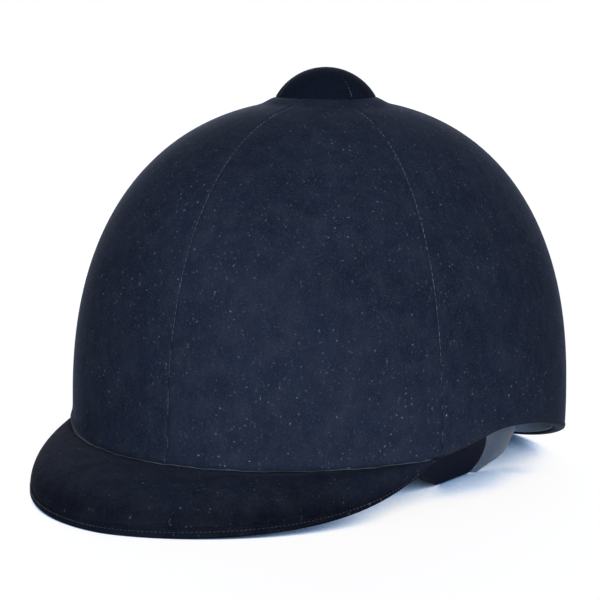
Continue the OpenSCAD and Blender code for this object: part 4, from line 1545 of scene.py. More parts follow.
@dataclass
class Peak(Assembly):
    """The peak's velvet, edge tape and lining; its stiff core stays as it is."""

    end: float = 59.4
    columns: int = 180
    seam_turn: float = 84.2
    groove: Ridge = Ridge(0.4, 84.2, 0.6)
    stitch_groove: Ridge = Ridge(0.12, 85.6, 0.5)
    proud: float = 0.75
    sewing: Sewing = Sewing(1.0, 0.75, 0.13, rise=0.9)

    def __post_init__(self) -> None:
        """Works out the depths of the layers."""
        self.top = FORM.edge_wall + FORM.cloth_gap
        self.core = self.top + FORM.velvet_wall + FORM.cloth_gap
        self.under = self.core + FORM.peak_wall + FORM.cloth_gap
        self.deep = self.under + FORM.under_wall + FORM.cloth_gap + FORM.edge_wall
        self.az = np.linspace(-self.end, self.end, self.columns)

    def brow(self, inset: float, depth: float) -> Array:
        """Row under the shell's edge."""
        row = FORM.wall(self.az, FORM.rim(self.az), inset)
        return row - points(0.0, 0.0, depth * FORM.peak_thin(self.az))

    def cover(self, name: str, node: str, depths: tuple[float, float], inset: float, look: Look, slot: Slot,
              last_turn: float, relief: Callable[[float], float] = lambda t: 0.0) -> Piece:
        """One cloth of the peak between two depths.

        Args:
            name: the new piece's name.
            node: the node that it replaces.
            depths: depths of its upper and its lower face.
            inset: how far in under the shell it starts.
            look: its finish.
            slot: the record's slot.
            last_turn: the turn at which it ends.
            relief: extra depth of its upper face at a turn.

        Returns:
            The piece.
        """
        turns = np.concatenate([np.linspace(8, 76, 34), np.linspace(77, last_turn, 30)])
        faces = []
        for depth, extra in zip(depths, (relief, lambda t: 0.0)):
            rows = [FORM.peak(self.az, t, depth + extra(t), self.top * sin_deg(t) ** 8) for t in turns]
            faces.append(FORM.seated(np.stack([self.brow(inset, depth), self.brow(0, depth)] + rows)))
        return self.lay(name, *faces, look, slot, [node], sharp=60)

    def edge_face(self, depth: float, least: float) -> Array:
        """One face of the tape, from the peak's top round the lip to its underside.

        Args:
            depth: distance inside the tape's outside.
            least: height over the table that no point goes below.

        Returns:
            Rows of points, in metres.
        """
        low = self.deep - depth
        rows = [FORM.peak(self.az, t, depth + self.groove.over(t) + self.stitch_groove.over(t))
                for t in np.linspace(self.seam_turn, 89, 16)]
        for t in np.linspace(0, 180, 13):
            lip = FORM.peak(self.az, 90, mix(depth, low, (1 - cos_deg(t)) / 2), depth)
            rows.append(self.pushed(lip, sin_deg(t) - 1))
        rows += [FORM.peak(self.az, t, low) for t in np.linspace(89, self.seam_turn - 7, 16)]
        return FORM.seated(np.stack(rows), least)

    def pushed(self, own: Array, out: float) -> Array:
        """Points moved away from the crown's middle, less so where the peak thins."""
        far = np.hypot(own[..., 0], own[..., 1])
        k = (far + out * FORM.peak_thin(self.az)) / far
        return own * points(k, k, 1.0)

    def swell(self, turn: float) -> float:
        """How far the top velvet stands proud between the crown and the tape, as a depth below 0."""
        return -self.proud * float(ramp(turn, 8, 20)) * float(1 - ramp(turn, self.seam_turn - 1, 1.2))

    def build(self) -> None:
        """Makes every soft piece of the peak."""
        self.cover("peak_velvet", "peak_top_cover", (self.top, self.top + FORM.velvet_wall), FORM.shell_in,
                   Look.PEAK, Slot.VELVET, self.seam_turn + 2, self.swell)
        self.cover("peak_lining", "peak_under_cover", (self.under, self.under + FORM.under_wall),
                   FORM.shell_in + FORM.cloth_gap, Look.UNDER_CLOTH, Slot.UNDER_CLOTH, 90.0)
        self.lay("peak_edge_tape", self.edge_face(0.0, 0.0), self.edge_face(FORM.edge_wall - 0.05, 0.25),
                 Look.PEAK, Slot.TAPE, ["peak_edge_binding"], sharp=60)
        az = np.linspace(-54, 54, 700)
        row = FORM.row_and_out(*(FORM.peak(az, self.stitch_groove.at, depth) for depth in (0.05, -3.0)))
        self.sew("peak_stitches", self.sewing, [row], Look.LIP_THREAD, Slot.WEBBING)


@dataclass
class Lining(Assembly):
    """What fills the crown: foam, headband, pads and the strap round the nape."""

    foam_ledge: float = 1.2
    band_tuck: float = 1.5
    band_edge: float = 0.45
    channel: Ridge = Ridge(0.35, 0.0, 0.5)
    channel_turn: float = 15.0
    band_hem: Ridge = Ridge(0.09, 0.12, 0.03)
    pad_wall: float = 5.0
    pad_edge: float = 0.3
    drawn_in: float = 0.06
    across_pad: float = 1.7
    down_pad: float = 1.9
    piping: Ridge = Ridge(0.16, 5.5, 1.2)
    pads: tuple[tuple[str, float, float, float, float], ...] = (
        ("brow_pad", -37.5, 37.5, 46, 64),
        ("nape_pad", 142.5, 217.5, 52, 76),
        ("side_pad_left", 60, 112.5, 40, 62),
        ("side_pad_right", 247.5, 300, 40, 62),
    )
    crown_pad_hole: float = 8.0
    crown_pad_radius: float = 42.0
    crown_pad_swell: float = 1.3
    spoke: Ridge = Ridge(0.25, 0.0, 1.3)
    spoke_turn: float = 60.0
    pad_fill: float = 0.6
    nape_height: float = 18.0
    nape_foot: float = 12.0
    nape_start: float = 112.5
    webbing_wall: float = 1.6
    rib: float = 0.95
    rib_height: float = 0.16
    rib_depth: float = 0.15

    def foam_face(self, inset: float, recess: float) -> Array:
        """One face of the impact foam.

        Args:
            inset: its depth over the dome.
            recess: how much deeper its wall lies.

        Returns:
            Rows of points, in metres.
        """
        az = np.linspace(0, 360, 241)[:-1]
        top, low = FORM.band_z(inset) - self.foam_ledge, FORM.liner_base(az)
        rows = [FORM.dome(az, mix(FORM.first_turn, FORM.band_turn(az), k), inset) for k in np.linspace(0, 1, 44)]
        rows += [FORM.wall(az, mix(top, low, k), inset + recess) for k in np.linspace(0, 1, 24)]
        return FORM.seated(np.stack(rows))

    def foam(self) -> None:
        """The impact foam, with its recess for the anchors."""
        outer = self.foam_face(FORM.liner_out, FORM.liner_recess)
        self.lay("foam_liner", outer, self.foam_face(FORM.liner_in, 0.0), Look.FOAM, Slot.FOAM,
                 ["impact_liner"], wrap=True)

    def headband(self) -> None:
        """The padded band round the head, quilted by shallow upright channels."""
        az, half = np.linspace(0, 360, 481)[:-1], self.channel_turn / 2
        k = np.linspace(1, 0, 22)[:, None]
        z = FORM.liner_base(az) - self.band_tuck + FORM.headband_height * k
        crown = 1 - np.abs(2 * k - 1) ** 3
        channel = self.channel.over((az + half) % self.channel_turn - half) * crown
        swell = mix(self.band_edge, 1.0, crown * (1 - channel)) - self.band_hem.over(np.minimum(k, 1 - k))
        back, front = (FORM.seated(FORM.wall(az, z, FORM.headband_out + FORM.headband_wall * share))
                       for share in (0.0, swell))
        self.lay("padded_headband", back, front, Look.SWEAT_LEATHER, Slot.SWEAT_LEATHER, ["headband"],
                 wrap=True, fill=self.pad_fill)

    def pad(self, node: str, az: Array, turn: Array, back: float, crown: Array, wrap: bool = False) -> None:
        """Makes a pad for a node: its back at an inset, its face over that by shares of the pads' thickness."""
        faces = (FORM.seated(FORM.dome(az, turn, back + self.pad_wall * share)) for share in (0.0, crown))
        self.lay(f"soft_{node}", *faces, Look.PAD_CLOTH, Slot.PAD_CLOTH, [node], wrap=wrap, fill=self.pad_fill)

    def cushion(self, node: str, az_from: float, az_to: float, turn_from: float, turn_to: float) -> None:
        """A crowned pad, drawn in between its corners and piped by a sewn line.

        Args:
            node: the node that it replaces.
            az_from: angle at its one end.
            az_to: angle at its other end.
            turn_from: turn at its upper edge.
            turn_to: turn at its lower edge.
        """
        u, v = np.meshgrid(np.linspace(0, 1, 49), np.linspace(0, 1, 33))
        draw_v, draw_u = (self.drawn_in * (1 - (2 * k - 1) ** 2) for k in (v, u))
        az = mix(az_from, az_to, mix(draw_v, 1 - draw_v, u))
        turn = mix(turn_from, turn_to, mix(draw_u, 1 - draw_u, v))
        crown = mix(self.pad_edge, 1.0, (1 - np.abs(2 * u - 1) ** 4) * (1 - np.abs(2 * v - 1) ** 2.5))
        border = np.minimum(np.minimum(u, 1 - u) * (az_to - az_from) * self.across_pad,
                            np.minimum(v, 1 - v) * (turn_to - turn_from) * self.down_pad)
        self.pad(node, az, turn, FORM.pad_out, crown - self.piping.over(border))

    def crown_pad(self) -> None:
        """The round pad at the top, with a hole in its middle and six sewn spokes."""
        az, k = np.meshgrid(np.linspace(0, 360, 145)[:-1], np.linspace(0, 1, 25))
        radius = mix(self.crown_pad_hole, self.crown_pad_radius, k) / FORM.half_width
        turn = np.degrees(np.arcsin(radius ** (FORM.squareness(az) / 2)))
        half = self.spoke_turn / 2
        spoke = self.spoke.over(np.radians((az + half) % self.spoke_turn - half) * radius * FORM.half_width)
        crown = mix(self.pad_edge, self.crown_pad_swell, (1 - np.abs(2 * k - 1) ** 2.5) * (1 - spoke))
        self.pad("crown_pad", az, turn, FORM.pad_out + FORM.layer_gap, crown, wrap=True)

    def nape_strap(self) -> None:
        """Ribbed grey strap inside the headband round the nape."""
        az = np.linspace(self.nape_start, 360 - self.nape_start, 1300)
        fall = ramp(FORM.folded(az), self.nape_start, 50)
        low = mix(-FORM.nape_drop / 2, self.nape_foot - FORM.nape_drop, fall)
        k = np.linspace(1, 0, 7)[:, None]
        waves = np.sin(np.radians(az) * FORM.half_width * 2 * math.pi / self.rib)
        ribs = self.rib_height * waves * ((k > 0) & (k < 1))
        back = FORM.headband_in + FORM.free_gap
        faces = (FORM.seated(FORM.wall(az, low + self.nape_height * k, back + inset))
                 for inset in (self.rib_depth - ribs, self.webbing_wall - self.rib_depth + ribs))
        self.lay("nape_webbing", *faces, Look.WEBBING, Slot.WEBBING, ["nape_strap"], sharp=75)

    def build(self) -> None:
        """Makes every piece inside the crown."""
        self.foam()
        self.headband()
        for pad in self.pads:
            self.cushion(*pad)
        self.crown_pad()
        self.nape_strap()


@dataclass
class Harness(Assembly):
    """Leather and webbing of one side, from its bars to its half of the buckle.

    It hangs from its bars on a sloping plane, folds where that meets the table, and goes on flat.
    """

    side: Side = Side.LEFT
    bar_x: float = 88.0
    bar_z: float = 34.0
    bar_radius: float = 1.25
    clearance: float = 0.05
    loop_width: float = 20.0
    front_bar_y: float = -12.0
    rear_bar_y: float = 41.0
    fold_x: float = 69.0
    fold_y: float = 26.5
    fold_width: float = 19.0
    fold_arc: float = 3.0
    cheek_wall: float = 2.4
    cheek_swell: float = 11.0
    cheek_bow: float = 2.0
    webbing_wall: float = 1.6
    rear_web_width: float = 25.0
    rear_web_bow: float = 8.5
    web_curl: float = 3.4
    rivet_x: float = 52.0
    skew: float = 16.0
    strap_width: float = 20.0
    strap_length: float = 76.0
    strap_back: float = 8.0
    rib: float = 0.95
    rib_depth: float = 0.15
    seam_inset: float = 2.6
    sewing: Sewing = Sewing(2.2, 0.9, 0.2)

    def __post_init__(self) -> None:
        """Works out the slope on which the harness hangs, and the names that its side gives."""
        self.fold_z = self.cheek_wall / 2
        self.slope = math.atan((self.bar_x - self.fold_x) / (self.bar_z - self.fold_z))
        self.slope_length = math.hypot(self.bar_x - self.fold_x, self.bar_z - self.fold_z)
        self.strap_low = self.cheek_wall + FORM.cloth_gap
        self.loop_mid = self.bar_radius + self.clearance + self.webbing_wall / 2
        self.word = self.side.word
        self.harness = f"harness_{self.word}"
        self.chin = f"chin_{self.word}"

    def hang(self, x: Array, y: Array, down: Array) -> Array:
        """Points in metres from distances off the sloping plane, places along the hat and ways down the slope."""
        s, c = math.sin(self.slope), math.cos(self.slope)
        return points(self.side.value * (self.bar_x + x * c - down * s), y, self.bar_z - x * s - down * c) * MM

    def along(self, s: Array, t: Array, z: Array) -> Array:
        """Points that lie with the chin strap.

        Args:
            s: ways along the strap from its rivet.
            t: places across it.
            z: heights.

        Returns:
            The points, in metres.
        """
        turn = math.radians(180 + self.side.value * self.skew)
        x = self.rivet_x + s * math.cos(turn) - t * math.sin(turn)
        y = self.fold_y + s * math.sin(turn) + t * math.cos(turn)
        return points(self.side.value * x, y, z) * MM

    def lying(self, x: Array) -> Array:
        """Points at half the leather's height over the table, at distances from the hat's middle."""
        return points(self.side.value * x, 0.0, self.fold_z) * MM

    def leather_outline(self) -> tuple[Array, Array]:
        """The leather's front and rear edge from the bar down to the fold.

        Returns:
            For each edge, places along the hat and ways down.
        """
        s, w, low = self.cheek_swell, self.loop_width / 2, self.slope_length
        y = self.front_bar_y
        fold_front, fold_rear = (self.fold_y + k * self.fold_width / 2 for k in (-1, 1))
        belly, shoulder = (y - w - s, 1.35 * s), (y + w + 1.1 * s, 0.7 * s)
        bow = (fold_rear + self.cheek_bow, low - 0.6 * s)
        front = np.vstack([
            [[y - w, 0]],
            bezier((y - w, 0.35 * s), (y - w - 0.8 * s, 0.55 * s), (belly[0], 0.9 * s), belly),
            bezier(belly, (belly[0], 2.9 * s), (fold_front - 1.5 * s, low + 0.4), (fold_front, low)),
        ])
        rear = np.vstack([
            [[y + w, 0]],
            bezier((y + w, 0.3 * s), (y + w, 0.55 * s), (y + w + 0.45 * s, 0.55 * s), shoulder),
            bezier(shoulder, (y + w + 2.3 * s, s), (fold_rear + 0.5, low - 1.7 * s), bow),
            bezier(bow, (bow[0] + 0.2, low - 0.35 * s), (fold_rear - 0.2, low - 0.15 * s), (fold_rear - 2.6, low)),
        ])
        return front, rear

    def leather_rings(self, front: Array, rear: Array) -> Array:
        """Rings of the leather round its bar, down the slope, over the fold and along its tab.

        Args:
            front: the outline's front edge.
            rear: its rear edge.

        Returns:
            Rings by points by 3, in metres.
        """
        cut = self.fold_arc * math.tan(math.radians(90) / 2 - self.slope / 2)
        turn = np.linspace(180, 0, 15)
        down = np.concatenate([np.linspace(2.0, 9.0, 8),
                               10 + (self.slope_length - cut - 10) * sin_deg(np.linspace(0, 90, 60))])
        settled = self.loop_mid * (1 - ramp(down, 1.0, 7.0))
        x = np.concatenate([[-self.loop_mid] * 2, self.loop_mid * cos_deg(turn), settled])
        fall = np.concatenate([[7.0, 3.0], -self.loop_mid * sin_deg(turn), down])
        looped = len(x) - len(down)
        hung = self.hang(x, 0.0, fall)
        t = np.linspace(0, 1, 12)[1:, None]
        corner, level = self.lying(self.fold_x), self.lying(self.fold_x - cut)
        bend = (1 - t) ** 2 * hung[-1] + 2 * t * (1 - t) * corner + t * t * level
        tab_end = self.rivet_x - self.strap_back
        tab_x = np.linspace(self.fold_x - cut, tab_end + 0.05, 40)[1:]

        y_front, y_rear = (np.interp(np.clip(fall, 0, None), edge[:, 1], edge[:, 0]) for edge in (front, rear))
        y_front[:looped], y_rear[:looped] = (self.front_bar_y + k * self.loop_width / 2 for k in (-1, 1))
        half, middle = (y_rear - y_front) / 2, (y_rear + y_front) / 2
        onwards = ease(np.linspace(0, 3, len(bend) + len(tab_x)))
        round_end = self.fold_width / 2
        half = np.concatenate([half, mix(half[-1], round_end, onwards)])
        middle = np.concatenate([middle, mix(middle[-1], self.fold_y, onwards)])
        far = np.clip(tab_x - tab_end, 0, round_end)
        half[-len(tab_x):] = np.maximum(np.sqrt(np.maximum(round_end**2 - (round_end - far) ** 2, 0)), 1.3)
        thin, full = self.webbing_wall / 2, self.cheek_wall / 2
        wall = np.full(len(half), full)
        wall[:looped] = thin
        wall[looped:looped + 8] = mix(thin, full, ease(np.linspace(0, 1, 8)))

        path = np.vstack([hung, bend, self.lying(tab_x)])
        path[:, 1] = middle * MM
        return sweep(path, np.tile([0.0, 1.0, 0.0], (len(path), 1)), stadium(half * MM, wall * MM))

    def cheek_leather(self) -> None:
        """One leather piece round the front bar, down to the fold and on to its tab, with its sewn edges."""
        edges = self.leather_outline()
        parts = MeshParts()
        parts.tube(self.leather_rings(*edges))
        piece = parts.build(f"cheek_leather_{self.word}", sharp=60)
        self.finishes.dress(piece, Look.LEATHER)
        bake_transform(piece)
        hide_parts(f"cheek_piece_{self.word}", f"cheek_tab_{self.word}")
        log.info("%s bends between %s and %s", piece.name, self.harness, self.chin)
        rows = []
        for edge, inward in zip(edges, (self.seam_inset, -self.seam_inset)):
            row = edge[(edge[:, 1] > 6) & (edge[:, 1] < self.slope_length - 5)]
            near, far = (self.hang(self.cheek_wall / 2 + k, row[:, 0] + inward, row[:, 1]) for k in (0, 3))
            rows.append((near, far - near))
        self.sew(f"cheek_stitches_{self.word}", self.sewing, rows, Look.DARK_THREAD, Slot.LEATHER, self.harness)

    def ribbon(self, name: str, path: Array, across: Array, width: Array, wall: float, body: str, node: str,
               shape: Callable[[Array], Array] = lambda own: own) -> None:
        """A ribbed strap along a path.

        Args:
            name: the piece's name.
            path: points along its middle, in metres.
            across: direction over its width at each of them.
            width: its width at each of them, in millimetres.
            wall: its thickness, in millimetres.
            body: the body that it rides on.
            node: the node that it stands for.
            shape: moves the finished points, in metres.
        """
        far = lengths(path) / MM
        marks = np.arange(0, far[-1], self.rib / 6)
        half = np.interp(marks, far, width) / 2
        rib = 0.5 + 0.5 * np.sin(marks * 2 * math.pi / self.rib)
        section = stadium(half * MM, (wall / 2 - self.rib_depth * (1 - rib)) * MM, corner=3)
        rings = sweep(read_off(marks, far, path), read_off(marks, far, across), section)
        parts = MeshParts()
        parts.tube(shape(rings.reshape(-1, 3)).reshape(rings.shape))
        self.finish(parts.build(name, sharp=80), Look.WEBBING, Slot.WEBBING, [node], body)

    def rear_outline(self, top: float, low: float, end: float) -> tuple[Array, Array]:
        """The rear webbing's front and rear edge.

        Args:
            top: way down to where it leaves its loop.
            low: way down to where it narrows to the fold.
            end: way down to its end.

        Returns:
            For each edge, places along the hat and ways down.
        """
        half, bar, bow = self.rear_web_width / 2, self.rear_bar_y, self.rear_web_bow
        bend, corner, wide = (top + low) / 2, self.rear_web_width / 4, self.rear_bar_y + half + bow
        fold_edge = self.fold_y + self.fold_width / 2
        calf, heel = (wide, low - 2.6), (fold_edge + 8, low + 4.3)
        rear = np.vstack([
            bezier((bar + half, top - 1), (wide - 0.5 * bow, bend - 4), (wide, bend + 6), calf),
            bezier(calf, (wide, low), (wide - 8, low + 0.9), heel),
            bezier(heel, (fold_edge + 7.4, low + 4.5), (fold_edge + 6.4, low + 4.8), (fold_edge + 5.6, end)),
        ])
        front = np.array([[bar - half, top - 1], [bar - half - 3, bend], [self.fold_y - half, low - corner],
                          [self.fold_y - half + corner, low], [fold_edge + 1, low + 1.5], [fold_edge + 1, end]])
        return front, rear

    def rear_webbing(self) -> None:
        """Strap from the rear bar, inside the cheek piece, down to the fold."""
        top, end = self.loop_mid + 0.8 + 2, self.slope_length + 0.3
        inner = -self.cheek_wall / 2 - FORM.cloth_gap - self.webbing_wall / 2
        turn = np.linspace(0, 180, 15)[1:]
        x = np.concatenate([[1.9, self.loop_mid], self.loop_mid * cos_deg(turn),
                            np.linspace(-self.loop_mid, inner, 6)[1:], np.full(80, inner)])
        down = np.concatenate([[6.0, 0.0], -self.loop_mid * sin_deg(turn), np.linspace(0, top, 6)[1:],
                               top + (end - top) * sin_deg(np.linspace(0, 90, 81))[1:]])
        edges = self.rear_outline(top, self.slope_length - 3 * self.webbing_wall, end)
        spread = ramp(down, 1, 6)
        starts = (self.rear_bar_y - self.loop_width / 2, self.rear_bar_y + self.loop_width / 2)
        y_front, y_rear = (mix(start, np.interp(down, edge[:, 1], edge[:, 0]), spread)
                           for start, edge in zip(starts, edges))
        path = self.hang(x, (y_rear + y_front) / 2, down)
        self.ribbon(f"rear_webbing_{self.word}", path, np.tile([0.0, 1.0, 0.0], (len(path), 1)), y_rear - y_front,
                    self.webbing_wall, self.harness, f"rear_web_{self.word}", self.curled)

    def curled(self, own: Array) -> Array:
        """Points of the rear webbing with its free edge turned outwards behind the leather.

        Args:
            own: the points of the flat strap, in metres.

        Returns:
            The points, kept over the table.
        """
        px, y, pz = (own / MM).T
        s, c = math.sin(self.slope), math.cos(self.slope)
        across, fall = px * self.side.value - self.bar_x, self.bar_z - pz
        x, down = across * c + fall * s, fall * c - across * s
        leather = self.fold_y + self.fold_width / 2 + 2.4 - 4.6 * ramp(down, self.slope_length - 6, 6)
        reach = mix(14, 5, ramp(down, self.slope_length - 14, 10))
        moved = self.hang(x + self.web_curl * ramp(y, leather + 1, reach) * ramp(down, 8, 10), y, down)
        moved[:, 2] = np.maximum(moved[:, 2], 0.05 * MM)
        return moved

    def strap_row(self, s: Array, z: float) -> tuple[Array, Array]:
        """Points along the chin strap's middle at a height, and the direction across it."""
        path = self.along(s, 0.0, z)
        return path, self.along(s, 1.0, z) - path

    def round_strap(self, at: float, ring: Array, mid: float) -> Array:
        """Points of a ring round the chin strap, given across it and up from a middle height."""
        return self.along(at, ring[:, 0], mid + ring[:, 1])

    def chin_webbing(self) -> None:
        """The chin strap beyond its rivet."""
        s = np.linspace(-self.strap_back, self.strap_length, 60)
        width = self.strap_width - 6 * (1 - ramp(s, -self.strap_back, 3))
        self.ribbon(f"chin_webbing_{self.word}", *self.strap_row(s, self.strap_low + self.webbing_wall / 2), width,
                    self.webbing_wall, self.chin, f"chin_strap_{self.word}")

    def build(self) -> None:
        """Makes the soft pieces of this side."""
        self.cheek_leather()
        self.rear_webbing()
        self.chin_webbing()


@dataclass
class LeftHarness(Harness):
    """The side with the chin pad and the buckle's socket."""

    pad_from: float = 24.0
    pad_length: float = 38.0
    pad_wall: float = 6.4
    pad_past: float = 7.0
    pad_fill: float = 0.7

    def chin_pad(self) -> None:
        """Padded sleeve round the strap, with three soft ribs and turned ends."""
        mid = self.strap_low + self.webbing_wall / 2
        width = self.strap_width + self.pad_past
        half, flat = width / 2, 0.3 * width
        lower, upper = (bezier((-half, 0), (-half, share * edge), (-flat, edge), (0, edge), 17)
                        for edge, share in ((0.1 - mid, 0.8), (self.pad_wall - mid, 0.9)))
        mirror = (-1, 1)
        outline = np.vstack([lower[:-1], (lower * mirror)[:0:-1], (upper * mirror)[:-1], upper[:0:-1]])
        turns = np.degrees(np.arctan2(outline[:, 1], outline[:, 0]))
        across, up = cos_deg(turns), sin_deg(turns)
        reach = np.minimum((self.strap_width / 2 + 0.2) / np.maximum(np.abs(across), 1e-6),
                           (self.webbing_wall / 2 + 0.2) / np.maximum(np.abs(up), 1e-6))
        slot = points(reach * across, reach * up)
        k = np.linspace(0, 1, 61)
        swell = (1 - 0.22 * (np.abs(2 * k - 1) ** 8)) * (1 - 0.05 * bell((k * 4) % 1 - 0.5, 0.12))
        s = self.pad_from + self.pad_length * k
        outer = [self.round_strap(at, slot + (outline - slot) * grow, mid) for at, grow in zip(s, swell)]
        inner = [self.round_strap(at, slot, mid) for at in s]
        self.lay("padded_chin_sleeve", np.stack(outer), np.stack(inner), Look.LEATHER, Slot.LEATHER, ["chin_pad"],
                 self.chin, wrap=True, fill=self.pad_fill)

    def build(self) -> None:
        """Makes the soft pieces of the left side."""
        super().build()
        self.chin_pad()


@dataclass
class RightHarness(Harness):
    """The side with the strap's free end, its loop and the buckle's plug."""

    side: Side = Side.RIGHT
    tail_from: float = 34.0
    tail_to: float = 69.7
    tail_wall: float = 0.75
    keeper_at: float = 50.0
    keeper_width: float = 8.0
    keeper_wall: float = 1.0
    keeper_play: float = 0.2
    keeper_corner: float = 0.9

    def tail(self) -> None:
        """Free end of the strap, folded back over it, with a sewn tip."""
        wall = self.tail_wall * self.webbing_wall
        s = np.linspace(self.tail_from, self.tail_to, 40)
        height = self.strap_low + self.webbing_wall + FORM.cloth_gap + wall / 2
        width = self.strap_width - 3 * (1 - ramp(s, self.tail_from, 3))
        self.ribbon("strap_tail_webbing", *self.strap_row(s, height), width, wall, self.chin, "strap_tail")

    def keeper(self) -> None:
        """Leather loop that holds the free end down."""
        play, wall, corner = self.keeper_play, self.keeper_wall, self.keeper_corner
        tall = self.webbing_wall * (1 + self.tail_wall) + FORM.cloth_gap + 2 * play + wall
        mid = self.strap_low - play - wall / 2 + tall / 2
        turns = np.arange(0, 360, 6.0)
        box = points(*(np.clip((reach - corner) * 3 * wave, corner - reach, reach - corner) + corner * wave
                       for reach, wave in ((self.strap_width / 2 + play + wall / 2, cos_deg(turns)),
                                           (tall / 2, sin_deg(turns)))))
        box = np.vstack([box[-1:], box, box[:1]])
        centre = self.keeper_at + self.keeper_width / 2
        path = self.round_strap(centre, box, mid)
        width, thick = (np.full(len(box), size * MM) for size in (self.keeper_width / 2, wall / 2 - 0.02))
        rings = sweep(path, self.round_strap(centre + 1, box, mid) - path, stadium(width, thick, 3))
        parts = MeshParts()
        parts.tube(rings[1:-1], closed=True)
        self.finish(parts.build("leather_keeper"), Look.LEATHER, Slot.LEATHER, ["strap_keeper"], KEEPER)

    def build(self) -> None:
        """Makes the soft pieces of the right side."""
        super().build()
        self.tail()
        self.keeper()


@dataclass(frozen=True)
class HardGroup:
    """Hard nodes that share a finish and a width of their softened edges, 0 for none."""

    look: Look
    nodes: Sequence[str]
    edge: float = 0.0


@dataclass
class Hardware(Assembly):
    """The hard pieces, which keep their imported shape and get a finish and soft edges."""

    groups: Sequence[HardGroup] = (
        HardGroup(Look.SHELL, ("outer_shell",)),
        HardGroup(Look.PEAK_CORE, ("peak_core",)),
        HardGroup(Look.BUTTON_CORE, ("button_core",)),
        HardGroup(Look.BUCKLE, ("buckle_socket", "buckle_plug"), 0.7),
        HardGroup(Look.BUCKLE, ("buckle_prong_front", "buckle_prong_rear"), 0.4),
        HardGroup(Look.STEEL, ("button_screw", "button_washer", "peak_rivets", "anchor_rivets")),
        HardGroup(Look.STEEL, tuple(f"anchor_{end}_{side.word}" for side in Side for end in ("front", "rear")), 0.2),
        HardGroup(Look.STEEL, tuple(f"chin_rivet_{side.word}" for side in Side), 0.25),
    )

    def build(self, nodes: dict[str, Piece]) -> None:
        """Dresses each node that is still shown.

        Args:
            nodes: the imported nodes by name.
        """
        for group in self.groups:
            for name in group.nodes:
                self.finishes.dress(nodes[name], group.look)
                if group.edge:
                    bevel = nodes[name].modifiers.new("soft edges", "BEVEL")
                    bevel.width, bevel.segments = group.edge * MM, 2
                    bevel.limit_method, bevel.angle_limit = "ANGLE", math.radians(40)
                log.info("%s keeps its packed shape in %s", name, group.look.value.name)


@dataclass(frozen=True)
class Lamp:
    """A distant lamp: its place round the hat and over the floor, in degrees, power, spread and colour."""

    name: str
    turn: float
    height: float
    power: float
    softness: float
    colour: Colour = (1.0, 1.0, 1.0)

    def build(self) -> None:
        """Puts the lamp into the scene."""
        data = bpy.data.lights.new(self.name, "SUN")
        data.energy, data.angle, data.color = self.power, math.radians(self.softness), self.colour
        linked(bpy.data.objects.new(self.name, data)).matrix_world = aimed(self.turn, self.height)


def aimed(turn: float, dip: float) -> Matrix:
    """A turn to look at the hat from an angle round it, 0 in front, and from an angle over the floor."""
    return Matrix.Rotation(math.radians(turn), 4, "Z") @ Matrix.Rotation(math.radians(90 - dip), 4, "X")


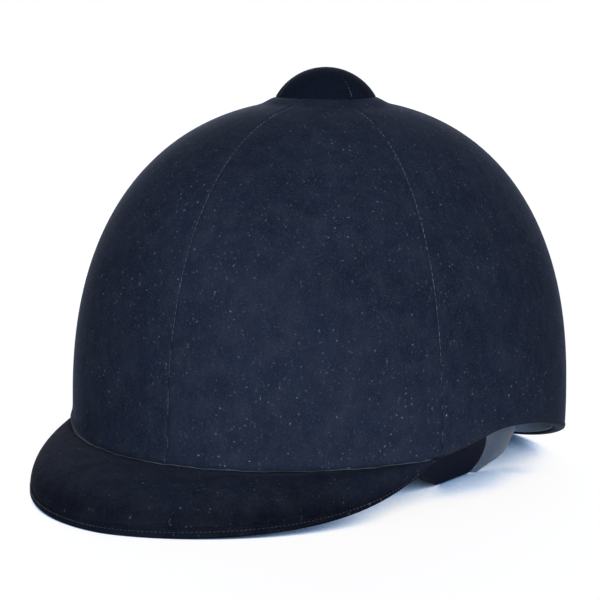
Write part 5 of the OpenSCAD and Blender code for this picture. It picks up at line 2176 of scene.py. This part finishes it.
@dataclass
class Studio:
    """White floor and room, soft lamps and the camera of the photograph."""

    camera_place: Colour = (460.8, -809.6, 191.6)
    camera_turn: float = 30.36
    camera_dip: float = 8.98
    lens: float = 123.7
    sensor: float = 36.0
    floor_half: float = 30.0
    floor_gap: float = 0.05
    bounce: Colour = (0.36, 0.36, 0.36)
    paper: Colour = (0.24, 0.32, 0.44)
    paper_glow: Colour = (0.92, 0.90, 0.88)
    shadow_tint: Colour = (0.28, 0.68, 1.35)
    shadows: tuple[Colour, ...] = ((45.0, 0.08, 0.38), (250.0, 0.03, 0.15))
    room_light: float = 0.16
    lamps: tuple[Lamp, ...] = (
        Lamp("front_lamp", 36, 4, 3.8, 30, (1.0, 0.99, 0.98)),
        Lamp("rear_lamp", 214, 12, 1.8, 60),
    )

    def camera(self) -> None:
        """The camera, placed in the crown's own frame and seated with it."""
        data = bpy.data.cameras.new("photo_camera")
        data.lens, data.sensor_width = self.lens, self.sensor
        data.clip_start, data.clip_end = 0.01, 100.0
        made = linked(bpy.data.objects.new("photo_camera", data))
        place = Matrix.Translation([c * MM for c in self.camera_place])
        made.matrix_world = FORM.seat @ place @ aimed(self.camera_turn, self.camera_dip)
        bpy.context.scene.camera = made

    def open_sky(self, g: Graph) -> Socket:
        """How open the floor is, from 0 in the middle of the shadow to 1.

        Args:
            g: the floor's tree.

        Returns:
            The product of a close shadow and a far one, each from its reach and its two ends.
        """
        open_sky = 1.0
        for reach, dark, clear in self.shadows:
            sky = g.node("ShaderNodeAmbientOcclusion", {"Distance": reach * MM}, samples=12)
            open_sky = g.times(open_sky, g.span(sky.outputs["AO"], dark, clear))
        return open_sky

    def paper_look(self) -> bpy.types.Material:
        """White paper that is seen white, keeps a bluish shadow, and can't be seen from below.

        Returns:
            The material.
        """
        made = bpy.data.materials.new("white_paper")
        made.use_nodes = True
        nodes, g = made.node_tree.nodes, Graph(made.node_tree)
        nodes.remove(nodes["Principled BSDF"])
        seen, open_sky = g.seen(), self.open_sky(g)
        matt = g.node("ShaderNodeBsdfDiffuse", {"Color": g.blend(seen, (*self.bounce, 1), (*self.paper, 1))})
        tint = g.blend(g.math("POWER", open_sky, 2.0), (*self.shadow_tint, 1), (*self.paper_glow, 1))
        glow = g.node("ShaderNodeEmission", {"Color": tint, "Strength": g.times(seen, open_sky)})
        total = g.node("ShaderNodeAddShader", {0: matt.outputs[0], 1: glow.outputs[0]})
        sides = g.node("ShaderNodeMixShader", {
            0: g.node("ShaderNodeNewGeometry").outputs["Backfacing"], 1: total.outputs[0],
            2: g.node("ShaderNodeBsdfTransparent").outputs[0]})
        g.put(nodes["Material Output"], {"Surface": sides.outputs[0]})
        return made

    def floor(self) -> None:
        """The floor, a hair under the hat."""
        mesh = bpy.data.meshes.new("floor")
        h = self.floor_half
        mesh.from_pydata([(-h, -h, 0), (h, -h, 0), (h, h, 0), (-h, h, 0)], [], [(0, 1, 2, 3)])
        mesh.materials.append(self.paper_look())
        made = linked(bpy.data.objects.new("floor", mesh))
        made.location.z = -self.floor_gap * MM

    def room(self) -> None:
        """Soft light from all round, seen as white."""
        world = bpy.data.worlds.new("white_room")
        world.use_nodes = True
        g = Graph(world.node_tree)
        g.put(world.node_tree.nodes["Background"],
              {"Color": (1, 1, 1, 1), "Strength": g.span(g.seen(), 0.0, 1.0, self.room_light, 1.0)})
        bpy.context.scene.world = world

    def build(self) -> None:
        """Makes the camera, the stage and the lamps."""
        self.camera()
        self.floor()
        self.room()
        for lamp in self.lamps:
            lamp.build()
        bpy.context.scene.view_settings.view_transform = "Standard"


def main() -> None:
    """Builds the helmet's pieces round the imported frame, then the studio."""
    logging.basicConfig(level=logging.INFO, format="%(message)s")
    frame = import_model()
    finishes = Finishes()
    for assembly in (Crown, Button, Peak, Lining, LeftHarness, RightHarness):
        assembly(finishes).build()
    Hardware(finishes).build(frame["nodes"])
    Studio().build()


if __name__ == "__main__":
    main()
